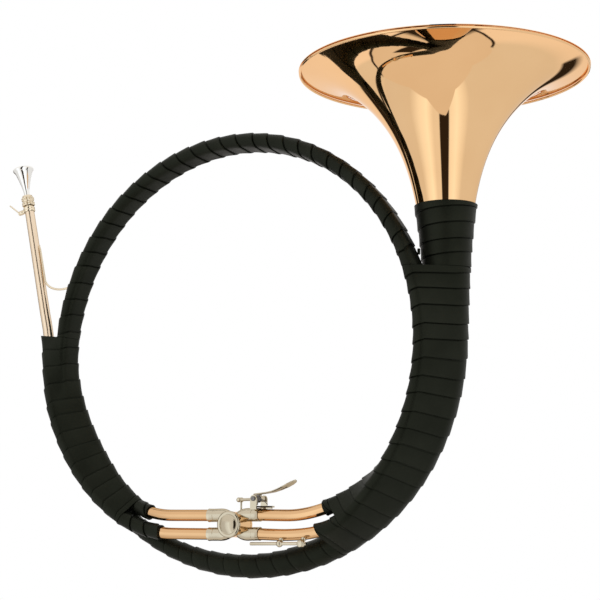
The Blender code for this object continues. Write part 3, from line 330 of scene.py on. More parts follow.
SLOT_MATERIALS = {"gold_brass": BRASS, "nickel_silver": NICKEL, "silver_plate": SILVER,
                  "spring_steel": STEEL, "black_leather": LEATHER, "bumper_cork": CORK}
SLOT_OF = {part["node"]: part["material_slot"] for part in frame["record"]["subparts"]}
for node, obj in frame["nodes"].items():
    obj.data.materials.clear()
    obj.data.materials.append(SLOT_MATERIALS[SLOT_OF[node]])

NODE_MATERIALS = {"leadpipe": PALE_BRASS}
for node in ("lower_right_branch", "upper_right_branch", "upper_left_branch", "lower_left_branch"):
    NODE_MATERIALS[node] = TUBE_BRASS
for node in ("tuning_slide", "slide_clamp_ring", "clamp_thumb_screw", "pipe_brace"):
    NODE_MATERIALS[node] = PALE_NICKEL

BODY_OF = {node: body for body, nodes in frame["record"]["behaviour"]["bodies"].items()
           for node in nodes}


# Making meshes

def linked(name, data):
    obj = bpy.data.objects.new(name, data)
    bpy.context.scene.collection.objects.link(obj)
    return obj


def linked_mesh(name, shape):
    mesh = bpy.data.meshes.new(name)
    shape.to_mesh(mesh)
    shape.free()
    return linked(name, mesh)


def weld(shape):
    bmesh.ops.remove_doubles(shape, verts=shape.verts, dist=1e-6)


def make_piece(name, shape, node):
    """Turns a bmesh about the ring's centre into the piece that stands for a node."""
    bmesh.ops.recalc_face_normals(shape, faces=shape.faces)
    obj = linked_mesh(name, shape)
    obj.location = CENTRE
    obj.data.shade_smooth()
    obj.data.set_sharp_from_angle(angle=math.radians(40))
    obj.data.materials.append(NODE_MATERIALS.get(node, SLOT_MATERIALS[SLOT_OF[node]]))
    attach(obj, BODY_OF[node])
    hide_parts(node)
    return obj


def add_rings(shape, rings, closed=False, capped=True):
    """A skin over rings of equally many points."""
    rows = [[shape.verts.new(point) for point in ring] for ring in rings]
    sides = len(rows[0])
    pairs = list(zip(rows, rows[1:]))
    if closed:
        pairs.append((rows[-1], rows[0]))
    for low, high in pairs:
        for side in range(sides):
            after = (side + 1) % sides
            shape.faces.new((low[side], low[after], high[after], high[side]))
    if capped and not closed:
        shape.faces.new(rows[0])
        shape.faces.new(rows[-1][::-1])
    return rows


def fillet(profile, radius, steps=3):
    """Rounds the corners of an outline of (radius, height) points."""
    rounded = [profile[0]]
    for before, corner, after in zip(profile, profile[1:], profile[2:]):
        corner = np.array(corner, float)
        back, ahead = before - corner, after - corner
        cut = min(radius, 0.45 * np.linalg.norm(back), 0.45 * np.linalg.norm(ahead))
        start = corner + back / np.linalg.norm(back) * cut
        end = corner + ahead / np.linalg.norm(ahead) * cut
        for step in range(steps + 1):
            t = step / steps
            rounded.append(tuple(start * (1 - t) ** 2 + corner * 2 * t * (1 - t) + end * t * t))
    rounded.append(profile[-1])
    return rounded


def add_turned(shape, profile, matrix, sides=72, ripple=None):
    """A body turned about a matrix's Z; a row of radius 0 closes it there."""
    rows = []
    for radius, height in profile:
        if radius <= 1e-9:
            rows.append([shape.verts.new(matrix @ Vector((0, 0, height)))])
            continue
        row = []
        for angle in full_turn(sides):
            reach = radius if ripple is None else radius + ripple(angle, height, radius)
            point = Vector((reach * math.cos(angle), reach * math.sin(angle), height))
            row.append(shape.verts.new(matrix @ point))
        rows.append(row)
    for low, high in zip(rows, rows[1:]):
        for side in range(sides):
            after = (side + 1) % sides
            corners = [low[side % len(low)], low[after % len(low)],
                       high[after % len(high)], high[side % len(high)]]
            corners = list(dict.fromkeys(corners))
            if len(corners) > 2:
                shape.faces.new(corners)


def in_mm(*rows):
    return [tuple(value * MM for value in row) for row in rows]


def add_filleted(shape, rows, radius, matrix, sides=48):
    """A turned body from (radius, height) rows in millimetres, with its corners rounded."""
    add_turned(shape, fillet(in_mm(*rows), radius * MM), matrix, sides)


def axis_matrix(start, axis):
    turn = Vector(axis).to_track_quat("Z", "Y").to_matrix().to_4x4()
    return Matrix.Translation(Vector(start)) @ turn


def full_turn(sides):
    return [2 * math.pi * side / sides for side in range(sides)]


def between(low, high, share):
    return low + (high - low) * share


def smooth(value):
    clipped = min(1.0, max(0.0, value))
    return clipped * clipped * (3 - 2 * clipped)


def bezier(start, first_pull, last_pull, end, steps):
    start, first_pull, last_pull, end = (np.array(p, float) for p in (start, first_pull, last_pull, end))
    points = []
    for step in range(steps + 1):
        t = step / steps
        points.append(start * (1 - t) ** 3 + first_pull * 3 * t * (1 - t) ** 2
                      + last_pull * 3 * t * t * (1 - t) + end * t ** 3)
    return points


# Paths of the tubing: rows of x, y, z and outer radius, joined by smooth curves

Plane = namedtuple("Plane", "centre outward normal")


def at_angle(degrees):
    """The plane through the ring's centre line at an angle, where 0 is right and 90 is up."""
    angle = math.radians(degrees)
    return Plane(np.zeros(3), np.array((math.cos(angle), 0, math.sin(angle))),
                 np.array((-math.sin(angle), 0, math.cos(angle))))


def at_height(height):
    return Plane(np.array((0, 0, height)), np.array((1.0, 0, 0)), np.array((0, 0, 1.0)))


def on_plane(plane, out, depth):
    return plane.centre + plane.outward * out + np.array((0, depth, 0))


def tail_radius(depth):
    """Outer radius of the cone and the bell, by the distance below the bell's mouth."""
    return (CONE_RADIUS - CONE_TAPER * depth + FLARE_RADIUS * math.exp(-depth / FLARE_LENGTH)
            + LIP_RADIUS * math.exp(-depth / LIP_LENGTH))


def cone_radius(degrees):
    return tail_radius(MOUTH_Z + CONE_PATH_RADIUS * math.radians(360 - degrees))


def rolled_pair(degrees, side):
    """Distance out and depth of one of the two turns where they roll over each other."""
    share = smooth((degrees - ROLL_START) / ROLL_ANGLE)
    out = between(*PAIR_OUT, share)
    depth = between(*PAIR_DEPTH, share)
    spread = between(*PAIR_SPREAD, share) / 2
    roll = math.radians(between(*PAIR_ROLL, share))
    return out + side * spread * math.cos(roll), depth + side * spread * math.sin(roll)


def front_turn(degrees):
    out, depth = RING_RADIUS, 0.0
    if degrees > LEFT_START:
        out, depth = rolled_pair(degrees, -1)
    growth = smooth((degrees - SWELL_START) / (CONE_START - SWELL_START))
    return (*on_plane(at_angle(degrees), out, depth),
            between(TUBE_RADIUS, cone_radius(CONE_START), growth))


def back_turn(degrees):
    out, depth = BACK_TURN_RADIUS, PAIR_SPACING
    if degrees > LEFT_START:
        out, depth = rolled_pair(degrees, 1)
    return (*on_plane(at_angle(degrees), out, depth), TUBE_RADIUS)


def cone(degrees):
    def drifted(first, last, start, angle):
        return between(first, last, smooth((degrees - start) / angle))

    out = drifted(CONE_OUT, BELL_X, *OUT_DRIFT)
    depth = drifted(CONE_DEPTH, BELL_Y, *DEPTH_DRIFT)
    return (*on_plane(at_angle(degrees), out, depth), cone_radius(degrees))


def upright_tail(height):
    return (BELL_X, BELL_Y, height, tail_radius(MOUTH_Z - height))


def placed(rows):
    """Path rows from angles in degrees, distances out and depths in millimetres."""
    return [(*on_plane(at_angle(angle), out * MM, depth * MM), TUBE_RADIUS)
            for angle, out, depth in rows]


def branch(side, rise, handles):
    """Rows from a port of the valve along a curve, with its handles in millimetres."""
    rows = [(*(VALVE + np.array((side * PORT_X, 0, rise * PORT_RISE)) * MM), TUBE_RADIUS)]
    for point in bezier(*(np.array(handle) * MM for handle in handles), 12):
        rows.append((*point, TUBE_RADIUS))
    return rows


def smooth_path(rows):
    """A smooth curve through the rows, with its knots spaced by the root of their distance."""
    rows = np.array(rows, float)
    rows = np.vstack((2 * rows[0] - rows[1], rows, 2 * rows[-1] - rows[-2]))
    steps_apart = np.linalg.norm(np.diff(rows[:, :3], axis=0), axis=1)
    knots = np.concatenate(([0], np.cumsum(np.sqrt(steps_apart))))
    out = []
    for index in range(1, len(rows) - 2):
        k0, k1, k2, k3 = knots[index - 1:index + 3]
        p0, p1, p2, p3 = rows[index - 1:index + 3]
        for step in range(PATH_STEPS):
            k = between(k1, k2, step / PATH_STEPS)
            first = between(p0, p1, (k - k0) / (k1 - k0))
            middle = between(p1, p2, (k - k1) / (k2 - k1))
            last = between(p2, p3, (k - k2) / (k3 - k2))
            before = between(first, middle, (k - k0) / (k2 - k0))
            after = between(middle, last, (k - k1) / (k3 - k1))
            out.append(between(before, after, (k - k1) / (k2 - k1)))
    out.append(rows[-2])
    return np.array(out)


LOWER_RIGHT = branch(1, -1, (
    (62, 2.3, -185.3), (92, 2.3, -185.3), (114.7, 0, -182.5), (132.0, 0, -168.95)))
UPPER_RIGHT = branch(1, 1, (
    (66, 2.3, -166.5), (87.7, 2.3, -167.1), (113.6, 5.7, -160.5), (137.1, 8.65, -147.0)))
UPPER_LEFT = branch(-1, 1, (
    (-70, 2.3, -164.9), (-87.6, 2.3, -164.6), (-103.7, 4.9, -160.8), (-116.36, 6.47, -154.41)))
LOWER_LEFT = branch(-1, -1, (
    (-72, 2.3, -183), (-92.2, 2.3, -181.9), (-111.4, -0.8, -175.8), (-126.2, -3.7, -167.47)))

FIRST_TURN = [front_turn(degrees) for degrees in range(TURN_START - 360, LEFT_END + 1, 5)]
CONE_BEND = [cone(degrees) for degrees in range(CONE_START, RIGHT_LEVEL_START, 5)] + [cone(358)]
TAIL = [upright_tail(height * MM) for height in (11.2, 48.2, 67.3, 88, 109, 130)]
BACK_TURN = placed(((-37, 208.8, 11.95),)) + [back_turn(d) for d in range(-27, 224, 5)]
LEAD_STRAIGHT = [(*(LEAD_FOOT + LEAD_AXIS * between(LEAD_TOP, 4.4 * MM, step / 5)),
                  between(LEAD_TOP_RADIUS, LEAD_LOW_RADIUS, step / 5)) for step in range(6)]
LEAD_BEND = placed(((183, 227.2, -4.2), (193, 222.2, -8.7), (203, 219.0, -8.6),
                    (213, 216.2, -7.6), (223, 213.0, -6.2)))

MAIN_PATH = smooth_path(LOWER_RIGHT + FIRST_TURN + CONE_BEND + TAIL)
BACK_PATH = smooth_path(UPPER_RIGHT + BACK_TURN + UPPER_LEFT[::-1])
LEAD_PATH = smooth_path(LEAD_STRAIGHT + LEAD_BEND + LOWER_LEFT[::-1])
CONE_PATH = smooth_path(FIRST_TURN[-3:] + CONE_BEND + TAIL)


def crossing(path, plane):
    """Where a path first meets a plane: distance out, depth, radius and squareness."""
    offsets = (path[:, :3] - plane.centre) @ plane.normal
    for index in np.nonzero(offsets[:-1] * offsets[1:] <= 0)[0]:
        here, after = path[index], path[index + 1]
        if offsets[index] == offsets[index + 1]:
            continue
        share = offsets[index] / (offsets[index] - offsets[index + 1])
        place = here + (after - here) * share
        out = (place[:3] - plane.centre) @ plane.outward
        if out > 0:
            way = after[:3] - here[:3]
            straightness = abs(way @ plane.normal) / np.linalg.norm(way)
            return out, place[1], place[3], straightness
    raise ValueError("a path misses its plane")


def outline_point(plane, circles, growth, side, sides):
    """One corner of the tightest even-angled outline round several circles."""
    step = 2 * math.pi / sides
    angle = step * side
    near, far = (max(out * math.cos(turn) + depth * math.sin(turn) + (radius + growth) / straight
                     for out, depth, radius, straight in circles) for turn in (angle, angle + step))
    along = (far - near * math.cos(step)) / math.sin(step)
    return on_plane(plane, near * math.cos(angle) - along * math.sin(angle),
                    near * math.sin(angle) + along * math.cos(angle))


# Each turn of leather: how far along it, and how high its skin stands there
LAP_ROWS = ((0.0, -0.5), (0.006, 0.45), (0.02, 0.88), (0.045, 1.0), (0.10, 0.97), (0.20, 0.82),
            (0.35, 0.60), (0.52, 0.38), (0.70, 0.20), (0.86, 0.07), (0.945, 0.0), (0.97, -0.4))


def skin_height(share):
    lift = float(np.interp(share, *zip(*LAP_ROWS, (1.0, -0.5))))
    if lift < 0:
        return LEATHER_LOW + lift * 2 * SEAM_DEPTH
    return between(LEATHER_LOW, LEATHER_HIGH, lift)


def wander(turn):
    """Small uneven spacing of the turns, in shares of a turn."""
    return 0.045 * math.sin(2.3 * turn) + 0.03 * math.sin(5.1 * turn + 1.0)


# An end's skin runs this far on, and stands this much higher where it is tucked under. A cuff
# turns from its tube's own direction to the bundle's over its last stretch.
END_LIP = 1.6 * MM
TUCK_GROWTH = 0.3 * MM
CUFF_TURN = 10.0 * MM


def wound(name, node, plane_at, start, end, pitch, section, columns=56, phase=0.0, cap=True,
          tucks=(False, False)):
    """A strip of leather wound as a helix from one plane to another.

    plane_at gives the cutting plane at a place along the core and section gives the point
    of the skin there, by growth and column. Rows of the mesh run along the strip. An end
    either turns in on itself or is tucked under the next winding.
    """
    shape = bmesh.new()
    lap_layer = shape.verts.layers.float.new("lap")
    rows = []
    for turn in range(-2, math.ceil((end - start) / pitch) + 3):
        for share, _ in LAP_ROWS:
            row = []
            for column in range(columns):
                winding = turn + share + column / columns
                place = start + pitch * (winding + phase + wander(winding))
                clipped = min(max(place, start), end)
                shown = (share + (clipped - place) / pitch) % 1.0 if clipped != place else share
                growth = WRAP_GAP + skin_height(shown)
                vertex = shape.verts.new(section(plane_at(clipped), growth, column, columns))
                vertex[lap_layer] = shown
                row.append(vertex)
            rows.append(row)
    for index, (low, high) in enumerate(zip(rows, rows[1:])):
        for column in range(columns - 1):
            shape.faces.new((low[column], low[column + 1], high[column + 1], high[column]))
        after = index + len(LAP_ROWS)
        if after + 1 < len(rows):
            shape.faces.new((low[-1], rows[after][0], rows[after + 1][0], high[-1]))
    bmesh.ops.remove_doubles(shape, verts=shape.verts, dist=2e-6)
    bmesh.ops.dissolve_degenerate(shape, edges=shape.edges, dist=1e-6)
    loose = [vertex for vertex in shape.verts if not vertex.link_faces]
    bmesh.ops.delete(shape, geom=loose, context="VERTS")
    for place, inward, tucked in ((start, 1, tucks[0]), (end, -1, tucks[1])):
        plane = plane_at(place)
        target = (place - start) / pitch - phase
        winding = target
        for _ in range(24):  # settles on the winding that wanders to this end
            winding = target - wander(winding)
        edge = [section(plane, WRAP_GAP + skin_height((winding - column / columns) % 1.0),
                        column, columns) for column in range(columns)]
        growth = WRAP_GAP + (TUCK_GROWTH if tucked else 0.0)
        shift = plane.normal * END_LIP * (-inward if tucked else inward)
        rim = [section(plane, growth, column, columns) for column in range(columns)]
        added = add_rings(shape, [edge, rim, [point + shift for point in rim]], capped=False)
        if cap:
            shape.faces.new(added[-1])
        # The rim and lip of each end take the seam's darkest colour: the leather's dark cut edge with
        # painted shade
        for row, lap in zip(added, (0.5, 0.99, 0.99)):
            for vertex in row:
                vertex[lap_layer] = lap
    make_piece(name, shape, node)


def bundle(*paths):
    """The skin's section round a bundle of tubes."""
    memory = {}

    def section(plane, growth, column, columns):
        key = (tuple(plane.centre), tuple(plane.normal))
        if key not in memory:
            memory[key] = [crossing(path, plane) for path in paths]
        return outline_point(plane, memory[key], growth, column, columns)
    return section


def ring_plane(place):
    """Level planes below the ring's end at the tail, then planes about the ring's centre."""
    if place < SPLIT_ANGLE - 0.5:
        return at_height(RING_RADIUS * math.sin(math.radians(place)))
    return at_angle(place)


def right_plane(place):
    """Planes about the ring's centre that turn level where the bell's tail rises."""
    if place <= RIGHT_LEVEL_START:
        return at_angle(place)
    return at_height(RING_RADIUS * math.sin(math.radians(place - 360)))


def wind_bundles():
    """The six wrappings round the ring and the bell's tail."""
    ring_start = math.degrees(math.asin(TAIL_WRAP_LOW_Z / RING_RADIUS))
    right_end = 360 + math.degrees(math.asin((TAIL_WRAP_LOW_Z - 0.3 * MM) / RING_RADIUS))
    wound("ring_leather", "ring_wrap", ring_plane, ring_start, LEFT_START - MEETING_ANGLE,
          TURN_ANGLE, bundle(MAIN_PATH, BACK_PATH), tucks=(True, True))
    wound("left_leather", "left_wrap", at_angle, LEFT_START, LEFT_END - MEETING_ANGLE,
          TURN_ANGLE, bundle(MAIN_PATH, BACK_PATH, LEAD_PATH))
    wound("bottom_leather", "bottom_wrap", at_angle, LEFT_END, LOW_RIGHT_START - MEETING_ANGLE,
          TURN_ANGLE, bundle(CONE_PATH), tucks=(True, True))
    wound("lower_right_leather", "lower_right_wrap", at_angle, LOW_RIGHT_START,
          RIGHT_START - MEETING_ANGLE, TURN_ANGLE, bundle(MAIN_PATH, CONE_PATH), phase=0.4,
          tucks=(False, True))
    wound("right_leather", "right_wrap", right_plane, RIGHT_START, right_end, RIGHT_TURN_ANGLE,
          bundle(MAIN_PATH, BACK_PATH, CONE_PATH), columns=72)
    wound("tail_leather", "tail_wrap", at_height, TAIL_WRAP_LOW_Z, TAIL_WRAP_TOP_Z, TAIL_PITCH,
          bundle(CONE_PATH), columns=96, cap=False, tucks=(True, False))


wind_bundles()


def across_and_up(tangent):
    """Two unit vectors square to a tangent, the second one square to both."""
    across = np.cross(np.array((0, 1.0, 0)), tangent)
    across /= np.linalg.norm(across)
    return across, np.cross(tangent, across)


def tube_rings(points, radii, sides, tangents=None):
    points = np.array(points, float)
    if tangents is None:
        tangents = np.gradient(points, axis=0)
    rings = []
    for point, tangent, radius in zip(points, tangents, radii):
        across, up = across_and_up(tangent / np.linalg.norm(tangent))
        rings.append([point + across * radius * math.cos(turn) + up * radius * math.sin(turn)
                      for turn in full_turn(sides)])
    return rings


def nearest(path, point):
    return int(np.argmin(np.linalg.norm(path[:, :3] - np.array(point)[:3], axis=1)))


def pipe(name, node, path, first, last, sides=48):
    """The stretch of a path between two of its rows, with its real wall."""
    rows = path[first:last + 1]
    tangents = np.gradient(path[:, :3], axis=0)[first:last + 1]
    shape = bmesh.new()
    outer = tube_rings(rows[:, :3], rows[:, 3], sides, tangents)
    inner = tube_rings(rows[:, :3], rows[:, 3] - TUBE_WALL, sides, tangents)
    add_rings(shape, outer + inner[::-1], closed=True)
    make_piece(name, shape, node)


pipe("lower_right_tube", "lower_right_branch", MAIN_PATH, 0, nearest(MAIN_PATH, front_turn(-37)))
pipe("upper_right_tube", "upper_right_branch", BACK_PATH, 0, nearest(BACK_PATH, back_turn(-27)))
pipe("upper_left_tube", "upper_left_branch", BACK_PATH, nearest(BACK_PATH, back_turn(223)),
     len(BACK_PATH) - 1)
LEAD_JOINT = nearest(LEAD_PATH, LEAD_BEND[-1])
pipe("lead_tube", "leadpipe", LEAD_PATH, 0, LEAD_JOINT)
pipe("lower_left_tube", "lower_left_branch", LEAD_PATH, LEAD_JOINT, len(LEAD_PATH) - 1)


def wind_sleeve(name, node, path, first, last, end_plane, pitch, phase, columns=40):
    """Leather round one branch from a bare stretch (first) into the bundle (last)."""
    rows = path[min(first, last):max(first, last) + 1]
    if last < first:
        rows = rows[::-1]
    lengths = np.concatenate(([0], np.cumsum(np.linalg.norm(np.diff(rows[:, :3], axis=0), axis=1))))
    tangents = np.gradient(rows[:, :3], axis=0)
    total = lengths[-1]

    def plane_at(place):
        centre = np.array([np.interp(place, lengths, rows[:, axis]) for axis in range(3)])
        tangent = np.array([np.interp(place, lengths, tangents[:, axis]) for axis in range(3)])
        tangent /= np.linalg.norm(tangent)
        target = end_plane.normal * math.copysign(1, tangent @ end_plane.normal)
        share = smooth(1 - (total - place) / CUFF_TURN)
        normal = tangent * (1 - share) + target * share
        normal /= np.linalg.norm(normal)
        return Plane(centre, tangent, normal)

    def section(plane, growth, column, columns):
        tangent = plane.outward
        across, up = across_and_up(tangent)
        turn = 2 * math.pi * column / columns
        radial = (across * math.cos(turn) + up * math.sin(turn)) * (TUBE_RADIUS + growth)
        return plane.centre + radial - tangent * (radial @ plane.normal) / (tangent @ plane.normal)

    wound(name, node, plane_at, 0.0, total, pitch, section, columns=columns, phase=phase,
          cap=False, tucks=(False, True))


def sleeve_rows(path, bare_point, plane):
    """Index of the bare end's row and of the row where the path enters the bundle."""
    offsets = (path[:, :3] - plane.centre) @ plane.normal
    first = nearest(path, bare_point)
    found = [index for index in np.nonzero(offsets[:-1] * offsets[1:] <= 0)[0]
             if path[index, :3] @ plane.outward > 0]
    last = min(found, key=lambda index: abs(index - first))
    return first, last


def wind_cuffs():
    """The cuffs of three branches, as far along the branch as their solids reach."""
    for name, node, path, rows, pitch, phase in (
            ("upper_right_cuff", "upper_right_sleeve", BACK_PATH, UPPER_RIGHT, 12.0, 0.6),
            ("upper_left_cuff", "upper_left_sleeve", BACK_PATH, UPPER_LEFT, 17.0, 0.45),
            ("lower_left_cuff", "lower_left_sleeve", LEAD_PATH, LOWER_LEFT, 18.0, 0.2)):
        low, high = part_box(node)
        on_left = "left" in node
        plane = at_angle(LEFT_END + MEETING_ANGLE if on_left else RIGHT_START - MEETING_ANGLE)
        bare_x = (high.x if on_left else low.x) - CENTRE.x
        bare = min(rows, key=lambda row: abs(row[0] - bare_x))
        other_turn = np.abs(path[:, 2] - bare[2]) > 20 * MM
        bare_point = path[np.argmin(np.abs(path[:, 0] - bare_x) + other_turn)]
        first, last = sleeve_rows(path, bare_point, plane)
        wind_sleeve(name, node, path, first, last, plane, pitch * MM, phase)


wind_cuffs()


# Bell

def make_bell():
    axis = axis_matrix((BELL_X, BELL_Y, 0), (0, 0, 1))
    depths = np.concatenate((np.linspace(0, 12 * MM, 26)[:-1], np.linspace(12 * MM, 60 * MM, 34)[:-1],
                             np.linspace(60 * MM, BELL_LENGTH, 32)))
    outer = [(tail_radius(depth), MOUTH_Z - depth) for depth in depths]
    inner = []
    for index, (radius, height) in enumerate(outer):
        before = outer[max(index - 1, 0)]
        after = outer[min(index + 1, len(outer) - 1)]
        run = np.array(after) - np.array(before)
        run /= np.linalg.norm(run)
        inner.append((radius + run[1] * BELL_WALL, height - run[0] * BELL_WALL))
    shape = bmesh.new()
    add_turned(shape, outer + inner[::-1] + outer[:1], axis, sides=224)
    weld(shape)
    make_piece("flared_bell", shape, "bell")
    shape = bmesh.new()
    ring = [(tail_radius(0) - RIM_WIRE_INSET + RIM_WIRE_RADIUS * math.cos(angle),
             MOUTH_Z - RIM_WIRE_DROP + RIM_WIRE_RADIUS * math.sin(angle)) for angle in full_turn(16)]
    add_turned(shape, ring + ring[:1], axis, sides=224)
    weld(shape)
    make_piece("rolled_rim", shape, "bell_rim_wire")


make_bell()


# Mouthpiece, tuning slide and its clamp, all on the leadpipe's axis

LEAD_MATRIX = axis_matrix(LEAD_FOOT, LEAD_AXIS)


def along_lead(name, node, profile, radius=0.25 * MM, ripple=None, sides=96):
    shape = bmesh.new()
    points = in_mm(*profile)
    add_turned(shape, fillet(points, radius) + points[:1], LEAD_MATRIX, sides, ripple)
    weld(shape)
    make_piece(name, shape, node)


along_lead("polished_mouthpiece", "mouthpiece", (
    (2.9, 145), (3.1, 166), (3.15, 172), (3.5, 175), (5.2, 182), (7.6, 190.5), (9.2, 195.2),
    (10.9, 197.3), (11.5, 198.7), (11.2, 200.0), (10.4, 200.5), (9.65, 200.1), (9.25, 199.1),
    (8.3, 195.6), (6.6, 190.4), (4.2, 183), (1.9, 177), (1.9, 145)), radius=0.9 * MM)


def knurl(angle, height, radius):
    """Deep notches round the slide's two beads."""
    if radius < KNURL_RADIUS or not KNURL_HEIGHTS[0] < height < KNURL_HEIGHTS[1]:
        return 0.0
    return -KNURL_DEPTH * max(0.0, math.cos(KNURL_NOTCHES * angle)) ** 2


along_lead("knurled_slide", "tuning_slide", (
    (4.0, 100), (4.0, 156), (6.15, 156), (6.95, 156.8), (6.95, 157.9), (6.5, 158.4), (6.5, 158.8),
    (6.95, 159.3), (6.95, 159.9), (5.95, 160.6), (5.95, 161.9), (6.95, 162.7), (6.95, 163.2),
    (6.5, 163.7), (6.5, 164.1), (6.95, 164.6), (6.95, 165.1), (5.85, 166.5), (5.2, 168),
    (3.45, 168), (3.45, 100)), ripple=knurl, sides=192)


def make_clamp():
    shape = bmesh.new()
    ring = in_mm((5.47, 149), (5.75, 149), (6.25, 149.8), (6.25, 150.9), (5.95, 151.4),
                 (5.95, 152.1), (6.25, 152.6), (6.25, 153.7), (5.75, 154.5), (5.47, 154.5))
    add_turned(shape, ring + ring[:1], LEAD_MATRIX, 96)
    middle = LEAD_FOOT + LEAD_AXIS * CLAMP_HEIGHT
    ear = axis_matrix(middle, LEAD_SIDE)
    add_filleted(shape, (
        (1.5, 5.7), (2.5, 5.7), (2.5, 7.6), (2.1, 8.2), (2.1, 8.8), (2.5, 9.4), (2.5, 12.5),
        (1.5, 12.5), (1.5, 5.7)), 0.2, ear)
    weld(shape)
    make_piece("slide_clamp", shape, "slide_clamp_ring")
    shape = bmesh.new()
    add_filleted(shape, (
        (0, 5.37), (1.2, 5.37), (1.2, 12.8), (2.3, 12.8), (2.3, 14.4), (1.2, 15.0), (0, 15.0)), 0.3, ear)
    grip = middle + LEAD_SIDE * 13.6 * MM
    way = np.array((-15.0, 0, 10.5))
    length = np.linalg.norm(way) * MM
    add_turned(shape, [(0, 0), (0.75 * MM, 0), (0.75 * MM, length - 1.6 * MM),
                       (0.72 * MM, length - 0.5 * MM), (0.45 * MM, length - 0.1 * MM), (0, length)],
               axis_matrix(grip, way), 32)
    make_piece("clamp_wing_screw", shape, "clamp_thumb_screw")


make_clamp()


def make_brace():
    def beside(along):
        pipe_radius = between(LEAD_LOW_RADIUS, LEAD_TOP_RADIUS, along / LEAD_TOP)
        return LEAD_FOOT + LEAD_AXIS * along - LEAD_SIDE * (pipe_radius + BRACE_RADIUS + 0.3 * MM)

    bend = beside(68 * MM)
    reach = RING_RADIUS + TUBE_RADIUS + WRAP_GAP + LEATHER_HIGH + 0.9 * MM
    points = [between(beside(108 * MM), bend, step / 8) for step in range(8)]
    points += bezier(bend, bend - LEAD_AXIS * 11 * MM, np.array((-222.0, 0, 77.4)) * MM,
                     on_plane(at_angle(158.9), reach, 0), 28)
    shape = bmesh.new()
    radii = [BRACE_RADIUS] * len(points)
    radii[0], radii[1] = 0.5 * MM, 1.0 * MM
    add_rings(shape, tube_rings(points, radii, 24))
    make_piece("wire_brace", shape, "pipe_brace")


make_brace()


# Rotary valve, turned about the Y axis

VALVE_MATRIX = axis_matrix(VALVE, (0, 1, 0))


def along_valve(name, node, profile, radius=0.3 * MM, sides=96):
    shape = bmesh.new()
    add_turned(shape, fillet(in_mm(*profile), radius), VALVE_MATRIX, sides)
    weld(shape)
    make_piece(name, shape, node)


along_valve("casing_shell", "valve_casing", (
    (11.2, -9.5), (13.0, -9.5), (13.0, -8.1), (12.7, -7.8), (12.7, 9.6), (13.0, 9.9), (13.0, 12.4),
    (5.5, 12.4), (5.5, 15.0), (3.3, 15.0), (3.3, 9.4), (11.2, 9.4), (11.2, -9.5)))
along_valve("screw_cap", "valve_cap", (
    (0, -14.9), (1.6, -14.83), (3.2, -14.61), (4.8, -14.24), (6.0, -13.86), (7.2, -13.38),
    (8.4, -12.79), (9.5, -12.15), (9.9, -12.6),
    (11.9, -12.8), (13.0, -12.0), (13.2, -11.5), (13.2, -9.8), (10.8, -9.8), (10.8, -9.45),
    (0, -9.45)))


def make_knuckles():
    handles = ((4, 4), (10.6, 10.6), (15, PORT_RISE), (21, PORT_RISE))
    for name, side, rise in (("upper_right_knuckle", 1, 1), ("lower_right_knuckle", 1, -1),
                             ("upper_left_knuckle", -1, 1), ("lower_left_knuckle", -1, -1)):
        bend = bezier(*(VALVE + np.array((side * x, 0, rise * z)) * MM for x, z in handles), 18)
        straight = [VALVE + np.array((side * x, 0, rise * PORT_RISE)) * MM for x, _ in FERRULE]
        radii = [KNUCKLE_RADIUS * MM] * len(bend) + [radius * MM for _, radius in FERRULE]
        tangents = [*np.gradient(np.array(bend), axis=0)] + [np.array((side, 0, 0))] * len(straight)
        shape = bmesh.new()
        add_rings(shape, tube_rings(bend + straight, radii, 48, tangents))
        make_piece(name + "_ferrule", shape, name)


make_knuckles()


# Lever work

def superellipse(width, height, sides):
    """Points round an oblong with round corners."""
    def flattened(value):
        return math.copysign(abs(value) ** (2 / 3), value)

    return [(flattened(math.cos(angle)) * width / 2, flattened(math.sin(angle)) * height / 2)
            for angle in full_turn(sides)]


